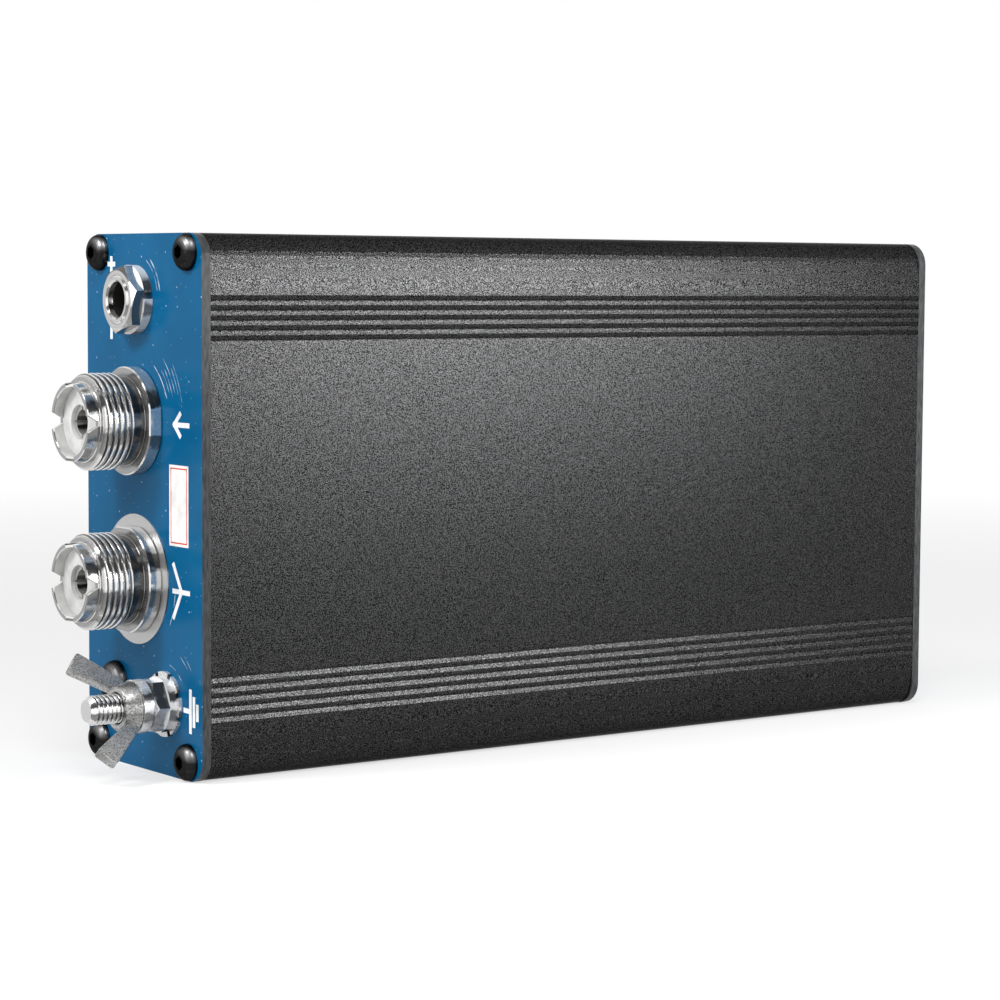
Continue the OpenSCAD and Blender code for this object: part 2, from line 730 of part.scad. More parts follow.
// Coaxial socket, turned in one piece: flange, neck, thread, collar and the shank through the panel
module socket_shell(flat_turn) {
  slope = thread_chamfer;
  difference() {
    rotate_extrude() polygon([
      [mouth_d / 2, flange_t], [insulator_d / 2 + fit_gap, flange_t],
      [insulator_d / 2 + fit_gap, -panel_t - shank_l], [shank_d / 2, -panel_t - shank_l],
      [shank_d / 2, 0], [flange_d / 2, 0], [flange_d / 2, flange_t], [neck_d / 2, flange_t],
      [neck_d / 2, thread_from], [thread_d / 2 - slope, thread_from],
      [thread_d / 2, thread_from + slope], [thread_d / 2, thread_to - slope],
      [thread_d / 2 - slope, thread_to], [collar_d / 2, thread_to],
      [collar_d / 2, socket_l], [mouth_d / 2, socket_l]
    ]);
    for (turn = [0:90:270]) rotate([0, 0, turn]) rotate([90, 0, 90])
      linear_extrude(collar_d) polygon([
        [-notch_root / 2, socket_l - notch_depth], [notch_root / 2, socket_l - notch_depth],
        [notch_w / 2, socket_l], [notch_w / 2, socket_l + over],
        [-notch_w / 2, socket_l + over], [-notch_w / 2, socket_l]
      ]);
    for (side = [0, 180]) rotate([0, 0, flat_turn + side])
      translate([flange_flats / 2, -flange_d, -fit_gap]) cube([flange_d, 2 * flange_d, flange_t + 2 * fit_gap]);
  }
}

module socket_insulator() {
  difference() {
    rotate_extrude() polygon([
      [0, insulator_back], [insulator_d / 2, insulator_back], [insulator_d / 2, flange_t],
      [mouth_d / 2 - fit_gap, flange_t], [mouth_d / 2 - fit_gap, insulator_front], [0, insulator_front]
    ]);
    translate([0, 0, insulator_back - over])
      cylinder(d = contact_d + 2 * fit_gap, h = insulator_front - insulator_back + 2 * over);
  }
}

// Split tube that grips the plug's pin, with a solder cup at its back
module socket_contact() {
  difference() {
    union() {
      translate([0, 0, insulator_back]) cylinder(d = contact_d, h = contact_front - insulator_back);
      translate([0, 0, contact_back]) cylinder(d = cup_d, h = cup_l + over);
    }
    translate([0, 0, contact_front - contact_depth]) cylinder(d = contact_bore, h = contact_depth + over);
    for (turn = [0, 90]) rotate([0, 0, turn])
      translate([-contact_d, -contact_slot / 2, contact_front - contact_slot_l])
        cube([2 * contact_d, contact_slot, contact_slot_l + over]);
  }
}

module socket_nut() {
  rotate([180, 0, 0]) hex_nut(socket_nut_af, shank_d + 2 * fit_gap, panel_t + tag_t, socket_nut_t, 0);
}

// Earth tag under the nut, with a tail soldered to the board below
module socket_tag() {
  difference() {
    translate([0, 0, -panel_t - tag_t]) union() {
      cylinder(d = tag_d, h = tag_t);
      translate([-tag_w / 2, board_y - socket_y, 0]) cube([tag_w, socket_y - board_y, tag_t]);
    }
    translate([0, 0, -panel_t - tag_t - over]) cylinder(d = shank_d + 2 * fit_gap, h = tag_t + 2 * over);
  }
}

module stay_screw() {
  color([0.05, 0.05, 0.05]) on_rear(stay_side, stay_up)
    button_screw(stay_d, stay_len, stay_head_d, stay_head_h, stay_key, stay_key_depth);
}

module stay_nut() {
  color([0.78, 0.78, 0.78]) on_rear(stay_side, stay_up) rotate([180, 0, 0])
    hex_nut(stay_nut_af, stay_d + 2 * fit_gap, panel_t, stay_nut_t, 0);
}

module input_place() { on_rear(socket_y, input_z) children(); }
module antenna_place() { on_rear(socket_y, antenna_z) translate([0, 0, pad_t]) children(); }
module antenna_panel_place() { on_rear(socket_y, antenna_z) children(); }

module input_socket_shell() { color([0.78, 0.78, 0.78]) input_place() socket_shell(90); }
module input_socket_insulator() { color([0.93, 0.93, 0.91]) input_place() socket_insulator(); }
module input_socket_contact() { color([0.82, 0.81, 0.78]) input_place() socket_contact(); }
module input_socket_nut() { color([0.75, 0.75, 0.75]) input_place() socket_nut(); }
module input_socket_tag() { color([0.8, 0.8, 0.78]) input_place() socket_tag(); }

module antenna_socket_shell() { color([0.78, 0.78, 0.78]) antenna_place() socket_shell(0); }
module antenna_socket_insulator() { color([0.93, 0.93, 0.91]) antenna_place() socket_insulator(); }
module antenna_socket_contact() { color([0.82, 0.81, 0.78]) antenna_place() socket_contact(); }
module antenna_socket_nut() { color([0.75, 0.75, 0.75]) antenna_panel_place() socket_nut(); }
module antenna_socket_tag() { color([0.8, 0.8, 0.78]) antenna_panel_place() socket_tag(); }

module antenna_pad_ring() {
  color([0.72, 0.71, 0.69]) antenna_panel_place() ring(pad_d, shank_d + 2 * panel_clear, 0, pad_t);
}

module jack_place() { on_rear(socket_y, jack_z) children(); }

module jack_ferrule() {
  color([0.78, 0.78, 0.78]) jack_place() rotate_extrude() polygon([
    [ferrule_bore / 2, ferrule_back], [ferrule_flange_d / 2, ferrule_back],
    [ferrule_flange_d / 2, -panel_t], [ferrule_d / 2, -panel_t],
    [ferrule_d / 2, ferrule_front - ferrule_chamfer], [ferrule_d / 2 - ferrule_chamfer, ferrule_front],
    [jack_bore / 2 + ferrule_chamfer, ferrule_front], [jack_bore / 2, ferrule_front - ferrule_chamfer],
    [jack_bore / 2, ferrule_front - ferrule_lip], [ferrule_bore / 2, ferrule_front - ferrule_lip]
  ]);
}

// Moulded body: a liner in the ferrule and a round block behind it
module jack_body() {
  liner = ferrule_bore / 2 - fit_gap;
  liner_front = ferrule_front - ferrule_lip - fit_gap;
  color([0.06, 0.06, 0.06]) jack_place() rotate_extrude() polygon([
    [jack_pin_tail / 2 + fit_gap, jack_back], [jack_body_d / 2, jack_back],
    [jack_body_d / 2, ferrule_back], [liner, ferrule_back],
    [liner, liner_front], [jack_bore / 2, liner_front],
    [jack_bore / 2, jack_floor], [jack_pin_tail / 2 + fit_gap, jack_floor]
  ]);
}

module jack_pin() {
  tip = jack_pin_d / 4;
  front = ferrule_front - jack_pin_back;
  color([0.8, 0.8, 0.78]) jack_place() rotate_extrude() polygon([
    [0, jack_back], [jack_pin_tail / 2, jack_back], [jack_pin_tail / 2, jack_floor],
    [jack_pin_d / 2, jack_floor], [jack_pin_d / 2, front - tip], [jack_pin_d / 2 - tip, front], [0, front]
  ]);
}

module jack_nut() {
  color([0.8, 0.8, 0.8]) jack_place()
    hex_nut(jack_nut_af, ferrule_d + 2 * fit_gap, jack_nut_from, jack_nut_t, jack_nut_turn);
}

module jack_lock_washer() {
  color([0.8, 0.8, 0.8]) jack_place()
    split_ring(jack_washer_d, ferrule_d + 2 * panel_clear, 0, jack_washer_t, jack_washer_gap, jack_washer_turn);
}

module jack_tags() {
  color([0.8, 0.8, 0.78]) jack_place() for (side = [-1, 1])
    translate([side * jack_body_d / 3 - jack_tag_t / 2, -jack_tag_w / 2, jack_back - jack_tag_l])
      cube([jack_tag_t, jack_tag_w, jack_tag_l]);
}

module post_place() { on_rear(post_y, post_up) children(); }

module earth_post() {
  back = -panel_t - lug_t;
  color([0.76, 0.76, 0.75]) post_place() {
    rotate_extrude() polygon([
      [0, back - post_head_t], [post_d / 2, back - post_head_t], [post_d / 2, post_out - post_chamfer],
      [post_d / 2 - post_chamfer, post_out], [0, post_out]
    ]);
    translate([0, 0, back - post_head_t]) cylinder(d = post_head_af / cos(30), h = post_head_t, $fn = 6);
  }
}

// Earth lug under the post's head, its tail running up to the board's notch
module earth_lug() {
  color([0.8, 0.8, 0.78]) post_place() translate([0, 0, -panel_t - lug_t]) difference() {
    union() {
      cylinder(d = lug_d, h = lug_t);
      translate([0, -lug_w / 2, 0]) cube([lug_d / 2 + post_notch_gap, lug_w, lug_t]);
    }
    translate([0, 0, -over]) cylinder(d = post_d + 2 * fit_gap, h = lug_t + 2 * over);
  }
}

module earth_star_washer() {
  color([0.8, 0.79, 0.77]) post_place() difference() {
    ring(star_d, post_d + 2 * panel_clear, 0, star_t);
    for (i = [0:star_teeth - 1]) rotate([0, 0, (i + 0.5) * 360 / star_teeth])
      translate([star_d / 2 - star_gap_depth, -star_gap_w / 2, -over])
        cube([star_d, star_gap_w, star_t + 2 * over]);
  }
}

module earth_spring_washer() {
  color([0.78, 0.78, 0.78]) post_place()
    split_ring(spring_d, post_d + 2 * panel_clear, spring_from, spring_t, spring_gap, spring_turn);
}

module earth_nut() {
  color([0.78, 0.78, 0.78]) post_place()
    hex_nut(post_nut_af, post_d + 2 * fit_gap, post_nut_from, post_nut_t, 0);
}

module clamp_washer() {
  color([0.8, 0.8, 0.8]) post_place() ring(clamp_d, post_d + 2 * run_gap, clamp_from, clamp_t);
}

// One wing as a flat plate: its foot lies in the hub's wall and it sweeps out and away from the panel
module wing_outline() {
  foot = post_d / 2 + 2 * run_gap;
  lean = [wing_reach - wing_top_d / 2, wing_rise - wing_hub_h];
  across = [lean[1], -lean[0]] / norm(lean);
  tip_out = [wing_reach - wing_round, wing_rise - wing_end * across[0] + wing_round * across[0]];
  tip_in = [wing_reach - wing_end * across[0], wing_rise - wing_round];
  hull() {
    translate([foot, 0.3]) square([wing_base_d / 2 - foot, wing_hub_h - 0.6]);
    translate(tip_out) circle(r = wing_round, $fn = 32);
    translate(tip_in) circle(r = wing_round, $fn = 32);
  }
}

module wing_nut() {
  color([0.62, 0.62, 0.61]) post_place() translate([0, 0, wing_from]) rotate([0, 0, wing_turn]) difference() {
    union() {
      cylinder(d1 = wing_base_d, d2 = wing_top_d, h = wing_hub_h);
      for (side = [0, 180]) rotate([0, 0, side]) translate([0, wing_t / 2, 0]) rotate([90, 0, 0])
        linear_extrude(wing_t) wing_outline();
    }
    translate([0, 0, -over]) cylinder(d = post_d + 2 * run_gap, h = wing_rise + 2 * over);
  }
}

// Push button: cap through the panel, collar behind it and a stem into its switch
module push_button(z) {
  stem_back = control_face + switch_h - 2 * button_travel;
  dome = button_d / 12;
  on_front(socket_y, z) rotate_extrude() polygon([
    [0, stem_back], [stem_d / 2, stem_back], [stem_d / 2, collar_back],
    [button_collar_d / 2, collar_back], [button_collar_d / 2, collar_back + button_collar_t],
    [button_d / 2, collar_back + button_collar_t], [button_d / 2, button_out - dome],
    [button_d / 2 - dome, button_out], [0, button_out]
  ]);
}

module tune_button() { color([0.12, 0.12, 0.12]) push_button(button_spots[0]); }
module auto_button() { color([0.12, 0.12, 0.12]) push_button(button_spots[1]); }
module bypass_button() { color([0.12, 0.12, 0.12]) push_button(button_spots[2]); }

module power_button() {
  dome = button_d / 12;
  stem_back = control_face + switch_h - button_travel;
  color([0.12, 0.12, 0.12]) on_front(socket_y, power_z) rotate_extrude() polygon([
    [0, stem_back], [stem_d / 2, stem_back], [stem_d / 2, collar_back],
    [button_collar_d / 2, collar_back], [button_collar_d / 2, collar_back + button_collar_t],
    [button_d / 2, collar_back + button_collar_t], [button_d / 2, button_out + power_travel - dome],
    [button_d / 2 - dome, button_out + power_travel], [0, button_out + power_travel]
  ]);
}

// Square switch on the control board, with a well for the button's stem
module switch_block(side, depth) {
  difference() {
    translate([-side / 2, -side / 2, control_face]) cube([side, side, switch_h]);
    translate([0, 0, control_face + switch_h - depth]) cylinder(d = stem_d + 2 * run_gap, h = depth + over);
  }
}

module push_switches() {
  color([0.1, 0.1, 0.1]) for (z = button_spots) on_front(socket_y, z)
    switch_block(switch_side, 4 * button_travel);
}

module power_switch() {
  color([0.1, 0.1, 0.1]) on_front(socket_y, power_z) switch_block(power_side, power_travel + 2 * button_travel);
}

module control_board() {
  color([0.08, 0.3, 0.2]) translate([front_x + control_face - small_board_t, board_y + slot_clear, control_z])
    cube([small_board_t, control_h, control_len]);
}

module control_header() {
  color([0.05, 0.05, 0.05])
    translate([front_x + control_face - small_board_t - header_side, board_y, mid_z - header_len / 2])
      cube([header_side, header_side, header_len]);
}

module display_window() {
  color([0.1, 0.1, 0.12, 0.5]) translate([half_len, socket_y - window_h / 2, window_z - window_w / 2])
    cube([panel_t, window_h, window_w]);
}

glass_front = half_len - glass_gap;
module display_glass() {
  color([0.03, 0.03, 0.05]) translate([glass_front - glass_t, socket_y - glass_h / 2, window_z - glass_w / 2])
    cube([glass_t, glass_h, glass_w]);
}

module display_board() {
  color([0.05, 0.12, 0.35])
    translate([glass_front - glass_t - small_board_t, display_low, window_z - display_w / 2])
      cube([small_board_t, display_high - display_low, display_w]);
}

module display_header() {
  back = front_x + control_face;
  depth = glass_front - glass_t - small_board_t - back;
  color([0.05, 0.05, 0.05]) translate([back, display_high - header_side, window_z - header_len / 2])
    cube([depth, header_side, header_len]);
}

module main_board() {
  edge = wall + board_gap;
  start = -half_len + board_end_gap;
  notch_z = post_up + lug_d / 2 + post_notch_gap;
  color([0.08, 0.3, 0.2]) difference() {
    translate([start, board_y - board_t, edge])
      cube([body_len - 2 * board_end_gap, board_t, body_h - 2 * edge]);
    translate([start - over, board_y - board_t - over, edge - over])
      cube([post_notch_l + over, board_t + 2 * over, notch_z - edge + over]);
  }
}

// Places a piece on the board: its own Z points away from the board and its own X runs along the case
module on_board(x, z) {
  translate([-half_len + x, board_y, z]) rotate([-90, 0, 0]) children();
}

module block(length, width, height) {
  translate([-length / 2, -width / 2, 0]) cube([length, width, height]);
}

module relays() {
  color([0.1, 0.1, 0.11]) {
    for (i = [0:relays_upper - 1])
      on_board(relay_first + i * relay_pitch, mid_z + relay_row) block(relay_w, relay_l, relay_h);
    for (i = [0:relays_lower - 1])
      on_board(relay_first + i * relay_pitch, mid_z - relay_row) block(relay_w, relay_l, relay_h);
  }
}

module tuning_capacitors() {
  color([0.55, 0.3, 0.12]) for (i = [0:relays_lower - 1])
    on_board(relay_first + i * relay_pitch, mid_z - cap_row) block(cap_w, cap_t, cap_h);
}

// Sweeps a round wire along a path; each point has a side direction that is never along the path
function unit(v) = v / norm(v);
function path_dir(path, i) = unit(path[min(i + 1, len(path) - 1)] - path[max(i - 1, 0)]);
function wire_ring(path, sides_at, i, r, sides) =
  let (t = path_dir(path, i), u = unit(cross(t, sides_at[i])), v = cross(t, u))
  [for (k = [0:sides - 1]) path[i] + r * (cos(360 * k / sides) * u + sin(360 * k / sides) * v)];
module wire(path, sides_at, r) {
  sides = 6;
  count = len(path);
  points = [for (i = [0:count - 1]) each wire_ring(path, sides_at, i, r, sides)];
  walls = [for (i = [0:count - 2], k = [0:sides - 1])
    let (a = i * sides + k, b = i * sides + (k + 1) % sides)
    each [[a, b, a + sides], [b, b + sides, a + sides]]];
  caps = [for (k = [1:sides - 2]) each [[0, k + 1, k],
    [(count - 1) * sides, (count - 1) * sides + k, (count - 1) * sides + k + 1]]];
  polyhedron(points, concat(walls, caps));
}

// Least clear gap between stretches of one wire that are at least one turn apart
function least_gap(path, d, turn) =
  min([for (i = [0:len(path) - 1], j = [i + turn:1:len(path) - 1]) norm(path[i] - path[j])]) - d;

coil_steps = 12;
coil_axis = coil_lift + coil_r + coil_wire / 2;
// Path of an air-wound coil along its own X: foot, half a turn more than the whole turns, foot
function coil_path(turns) =
  let (steps = (turns + 0.5) * coil_steps, length = (turns + 0.5) * coil_pitch)
  concat(
    [[-length / 2, -coil_r, 0]],
    [for (i = [0:steps]) [-length / 2 + length * i / steps, -coil_r * cos(360 * i / coil_steps),
                          coil_axis + coil_r * sin(360 * i / coil_steps)]],
    [[length / 2, coil_r, 0]]
  );
module coil(turns) {
  path = coil_path(turns);
  wire(path, [for (p = path) [1, 0, 0]], coil_wire / 2);
}

coil_turns = [[3, 4], [5, 6]];
module air_coils() {
  color([0.72, 0.4, 0.2]) for (pair = [0, 1], side = [0, 1])
    on_board(coil_first + pair * coil_step, mid_z + (2 * side - 1) * coil_row) coil(coil_turns[pair][side]);
}

// Path of a winding round a standing ring core, from foot to foot
winding_from = 32;
winding_corner = 0.02;
function winding_loop(outer_d, inner_d, thick, d) =
  let (c = d / 2 + winding_gap, k = d / 2 + winding_corner)
  let (ro = outer_d / 2 + c, ri = inner_d / 2 - c, x = thick / 2 + c)
  [[ro, -x + k], [ro, x - k], [ro - k, x], [ri + k, x], [ri, x - k], [ri, -x + k], [ri + k, -x], [ro - k, -x]];
function winding_angle(i, steps) = winding_from + (360 - 2 * winding_from) * i / steps;
function core_axis(outer_d, d) = outer_d / 2 + d + winding_gap + coil_lift;
function winding_path(outer_d, inner_d, thick, d, turns) =
  let (loop = winding_loop(outer_d, inner_d, thick, d), steps = 8 * turns + 1, h = core_axis(outer_d, d))
  concat(
    [[loop[0][1], -loop[0][0] * sin(winding_from), 0]],
    [for (i = [0:steps]) let (a = winding_angle(i, steps), p = loop[i % 8])
      [p[1], -p[0] * sin(a), h - p[0] * cos(a)]],
    [[loop[1][1], loop[0][0] * sin(winding_from), 0]]
  );
module winding(outer_d, inner_d, thick, d, turns) {
  path = winding_path(outer_d, inner_d, thick, d, turns);
  steps = 8 * turns + 1;
  sides_at = [for (i = [0:len(path) - 1])
    let (a = winding_angle(min(max(i - 1, 0), steps), steps)) [0, -cos(a), sin(a)]];
  wire(path, sides_at, d / 2);
}
module standing_core(outer_d, inner_d, thick, d) {
  translate([-thick / 2, 0, core_axis(outer_d, d)]) rotate([0, 90, 0]) ring(outer_d, inner_d, 0, thick);
}

core_turns = [9, 12, 14];
module powder_cores() {
  color([0.55, 0.1, 0.08]) for (i = [0:2])
    on_board(core_first + i * core_pitch, mid_z) standing_core(core_d, core_bore, core_t, core_wire);
}
module powder_windings() {
  color([0.72, 0.4, 0.2]) for (i = [0:2])
    on_board(core_first + i * core_pitch, mid_z) winding(core_d, core_bore, core_t, core_wire, core_turns[i]);
}

coupler_turns = 10;
coupler_wire = 0.5;
module coupler_cores() {
  color([0.2, 0.2, 0.21]) for (side = [-1, 1])
    on_board(coupler_first, mid_z + side * coupler_row)
      standing_core(coupler_d, coupler_bore, coupler_t, coupler_wire);
}
module coupler_windings() {
  color([0.72, 0.4, 0.2]) for (side = [-1, 1])
    on_board(coupler_first, mid_z + side * coupler_row)
      winding(coupler_d, coupler_bore, coupler_t, coupler_wire, coupler_turns);
}

// Round rod that leaves the board, bends over and runs along X at a height
module bent_lead(d, bend, height, run) {
  cylinder(d = d, h = height - bend);
  translate([-bend, 0, height - bend]) rotate([90, 0, 0])
    rotate_extrude(angle = 90) translate([bend, 0]) circle(d = d);
  translate([-bend - run, 0, height]) rotate([0, 90, 0]) cylinder(d = d, h = run);
}

module coupler_links() {
  height = core_axis(coupler_d, coupler_wire);
  bend = link_d;
  color([0.85, 0.85, 0.82]) for (side = [-1, 1], turn = [0, 180])
    on_board(coupler_first, mid_z + side * coupler_row) rotate([0, 0, turn])
      translate([link_half, 0, 0]) bent_lead(link_d, bend, height, link_half - bend);
}

lead_reach = lead_bend + 2;
module socket_lead(z, base) {
  start = -contact_back - panel_t - base;
  on_board(start + lead_reach, z) bent_lead(lead_d, lead_bend, socket_y - board_y, lead_reach - lead_bend);
}

module input_lead() { color([0.85, 0.84, 0.8]) socket_lead(input_z, 0); }
module antenna_lead() { color([0.85, 0.84, 0.8]) socket_lead(antenna_z, pad_t); }

module jack_leads() {
  start = -jack_back + jack_tag_l - panel_t;
  color([0.6, 0.08, 0.06]) for (side = [-1, 1])
    on_board(start + lead_reach, jack_z + side * jack_body_d / 3)
      bent_lead(lead_d, lead_bend, socket_y - board_y, lead_reach - lead_bend);
}

module microcontroller() {
  color([0.08, 0.08, 0.09]) on_board(chip_x, mid_z) {
    translate([0, 0, chip_lift]) block(chip_w, chip_l, chip_h);
    for (side = [-1, 1], i = [0:chip_pins - 1])
      translate([side * (chip_w + chip_pin_t) / 2, (i - (chip_pins - 1) / 2) * chip_pitch, 0])
        block(chip_pin_t, chip_pin_t, chip_lift + chip_h / 2);
  }
}

module regulator() {
  color([0.1, 0.1, 0.1]) on_board(relay_first + relays_lower * relay_pitch, mid_z - relay_row) difference() {
    union() {
      block(regulator_w, regulator_t, regulator_h);
      translate([0, (regulator_tab_t - regulator_t) / 2, regulator_h])
        block(regulator_w, regulator_tab_t, regulator_tab_h);
    }
    translate([0, 0, regulator_h + regulator_tab_h / 2]) rotate([90, 0, 0])
      cylinder(d = regulator_hole, h = 2 * regulator_t, center = true);
  }
}

module electrolytics() {
  color([0.15, 0.15, 0.2]) for (i = [0, 1])
    on_board(chip_x, mid_z - chip_l / 2 - 1 - (i + 0.5) * (electrolytic_d + 1))
      cylinder(d = electrolytic_d, h = electrolytic_h);
}

echo(coil_gap = least_gap(coil_path(coil_turns[1][1]), coil_wire, coil_steps));
echo(core_gap = least_gap(winding_path(core_d, core_bore, core_t, core_wire, core_turns[2]), core_wire, 7));
echo(coupler_gap = least_gap(
  winding_path(coupler_d, coupler_bore, coupler_t, coupler_wire, coupler_turns), coupler_wire, 7));

bottom_shell();
top_shell();
rear_panel();
front_panel();
rear_panel_screws();
front_panel_screws();
stay_screw();
stay_nut();
input_socket_shell();
input_socket_insulator();
input_socket_contact();
input_socket_nut();
input_socket_tag();
antenna_socket_shell();
antenna_socket_insulator();
antenna_socket_contact();
antenna_socket_nut();
antenna_socket_tag();
antenna_pad_ring();
jack_ferrule();
jack_body();
jack_pin();
jack_nut();
jack_lock_washer();
jack_tags();
jack_leads();
earth_post();
earth_lug();
earth_star_washer();
earth_spring_washer();
earth_nut();
clamp_washer();
wing_nut();
tune_button();
auto_button();
bypass_button();
power_button();
push_switches();
power_switch();
control_board();
control_header();
display_window();
display_glass();
display_board();
display_header();
main_board();
relays();
tuning_capacitors();
air_coils();
powder_cores();
powder_windings();
coupler_cores();
coupler_windings();
coupler_links();
input_lead();
antenna_lead();
microcontroller();
regulator();
electrolytics();
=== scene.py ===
import json
import math

import bmesh
import bpy
from mathutils import Matrix, Vector


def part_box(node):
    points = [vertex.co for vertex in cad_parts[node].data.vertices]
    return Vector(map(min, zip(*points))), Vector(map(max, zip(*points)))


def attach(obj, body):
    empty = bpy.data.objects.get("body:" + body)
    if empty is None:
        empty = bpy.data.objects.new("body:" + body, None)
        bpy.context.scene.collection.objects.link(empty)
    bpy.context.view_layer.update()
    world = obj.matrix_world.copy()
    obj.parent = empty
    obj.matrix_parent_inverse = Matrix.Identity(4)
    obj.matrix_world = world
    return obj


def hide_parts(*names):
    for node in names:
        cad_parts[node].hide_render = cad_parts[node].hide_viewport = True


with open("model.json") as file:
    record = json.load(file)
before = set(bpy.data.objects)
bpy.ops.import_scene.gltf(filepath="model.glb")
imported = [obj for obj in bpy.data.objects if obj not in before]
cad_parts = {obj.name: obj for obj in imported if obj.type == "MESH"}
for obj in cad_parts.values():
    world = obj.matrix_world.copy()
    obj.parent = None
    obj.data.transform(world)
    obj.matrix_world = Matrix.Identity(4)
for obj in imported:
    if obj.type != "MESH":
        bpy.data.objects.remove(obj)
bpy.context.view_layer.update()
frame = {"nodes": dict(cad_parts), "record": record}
NODES = frame["nodes"]
MM = 0.001
TURN = 2 * math.pi
QUARTER = TURN / 4


# Lowest and highest corner of a node, in millimetres to the nearest hundredth
def corners_of(node):
    return [[round(float(v) / MM, 2) for v in corner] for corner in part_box(node)]


# Y and Z of a node's middle
def middle_of(node):
    low, high = corners_of(node)
    return [round((low[axis] + high[axis]) / 2, 2) for axis in (1, 2)]


# Half of a node's size along Y and along Z
def half_size_of(node):
    low, high = corners_of(node)
    return [round((high[axis] - low[axis]) / 2, 2) for axis in (1, 2)]


# Heights of a node's outer and inner end above the connector panel, below zero inside the case
def reach_of(node):
    low, high = corners_of(node)
    return round(REAR_X - low[0], 2), round(REAR_X - high[0], 2)


# Places on the panels, in millimetres, and the sides of the case that the panels close
REAR_X = corners_of("rear_panel")[0][0]
REAR, FRONT = -1, 1
SOCKET_Y, INPUT_Z = middle_of("input_socket_shell")
ANTENNA_Z = middle_of("antenna_socket_shell")[1]
PAD_T = reach_of("antenna_pad_ring")[0]
JACK_Z = middle_of("jack_ferrule")[1]
POST_Y, POST_Z = middle_of("earth_post")

# Socket shell: radii and heights above the panel, and the angles that its flats face
FLANGE_FLAT, FLANGE_R = half_size_of("input_socket_shell")
SOCKET_L, SHANK_BACK = reach_of("input_socket_shell")
FLANGE_T = 2.3
FLANGE_EDGE = 0.2
FLATS_SIDEWAYS = QUARTER
FLATS_UPRIGHT = 0.0
NECK_R = 7.25
FILLET = 0.1
THREAD_R = 7.9375
THREAD_FROM = 4.2
THREAD_TO = 10.0
THREAD_PITCH = 25.4 / 24
THREAD_STEPS = 96
RUN_IN = 0.5
RUN_OUT = 0.7
RUN_OUT_SLOPE = 0.85
COLLAR_R = 6.5
MOUTH_R = 5.65
MOUTH_SLACK = 0.01
RIM_EDGE = 0.12
SHANK_R = 6.0
SHANK_BORE = 4.15
NOTCH_COUNT = 4
NOTCH_W = 2.7
NOTCH_ROOT = 0.7
NOTCH_DEPTH = 1.85
SOCKET_SIDES = 160

# Earth post: radii and heights above the panel
POST_END, HEAD_FROM = reach_of("earth_post")
HEAD_FLAT = half_size_of("earth_post")[0]
HEAD_TO = -2.4
HEAD_EDGE = 0.3
POST_R = 2.42
POST_ROOT = 2.06
POST_PITCH = 0.8
POST_STEPS = 250
POST_SIDES = 64
POST_SINK = 0.2
CREST_GAP = 0.01
CHAMFER = 0.8
CHAMFER_SLOPE = 0.9
TIP_R = 1.75
TIP_EDGE = 0.12
DIMPLE_R = 0.5
DIMPLE_DEPTH = 0.08

# Sharpness of a thread's crest, and how far inside its root a point still counts as part of it
CREST_POWER = 3.5
ROOT_SLACK = 0.2

# Wing nut: its seat and turn at rest, and its hub's section as radius and height
WING_FROM = reach_of("wing_nut")[1]
WING_TURN = math.radians(39)
HUB = [
    (2.56, 0.0), (4.05, 0.0), (4.2, 0.15), (3.7, 2.6),
    (3.5, 2.85), (3.1, 2.9), (2.75, 2.9), (2.56, 2.7),
]
HUB_SIDES = 64
# One wing: its outline as distance from the axis and height, and its half thickness at the axis and the tip
WING_OUTLINE = [
    (2.9, 0.4), (4.2, 0.3), (4.7, 0.55), (10.1, 6.25), (10.35, 6.6), (10.3, 6.95),
    (8.05, 8.85), (7.75, 8.98), (7.45, 8.8), (3.6, 2.95), (3.3, 2.6), (2.9, 2.5),
]
WING_ROOT_HALF = 1.15
WING_TIP_HALF = 0.9
WING_REACH = 10.4
WING_FOOT = 2.75
# Layers through a wing: share of its half thickness, and inset of the outline towards the wing's middle
WING_LAYERS = [(-1.0, 0.16), (-0.88, 0.0), (0.88, 0.0), (1.0, 0.16)]
WING_MIDDLE = (6.4, 4.6)

# Points closer than this, in metres, are one point
MERGE_M = 1e-7
# Least divisor
TINY = 1e-6
# Most values of a noise texture lie in this span
NOISE_SPAN = (0.3, 0.7)
# How far below a panel's outer face its mask reaches
MASK_REACH = 0.1

# Camera fitted to the case's edges in the photo: yaw, pitch and roll in degrees, place in millimetres
CAMERA_TURN = (36.1763, -4.4437, 0.3686)
CAMERA_PLACE = (-309.285, -413.759, 81.3645)
CAMERA_LENS = 103.543
SENSOR_W = 36
CLIP_START_M = 0.01


def make_camera():
    yaw, pitch, roll = (math.radians(angle) for angle in CAMERA_TURN)
    forward = Vector((math.sin(yaw) * math.cos(pitch), math.cos(yaw) * math.cos(pitch), math.sin(pitch)))
    right = Vector((math.cos(yaw), -math.sin(yaw), 0))
    up = right.cross(forward)
    side = right * math.cos(roll) + up * math.sin(roll)
    top = up * math.cos(roll) - right * math.sin(roll)
    data = bpy.data.cameras.new("camera")
    data.lens = CAMERA_LENS
    data.sensor_width = SENSOR_W
    data.clip_start = CLIP_START_M
    camera = bpy.data.objects.new("camera", data)
    turn = Matrix((side, top, -forward)).transposed().to_4x4()
    turn.translation = Vector(CAMERA_PLACE) * MM
    camera.matrix_world = turn
    bpy.context.collection.objects.link(camera)
    bpy.context.scene.camera = camera


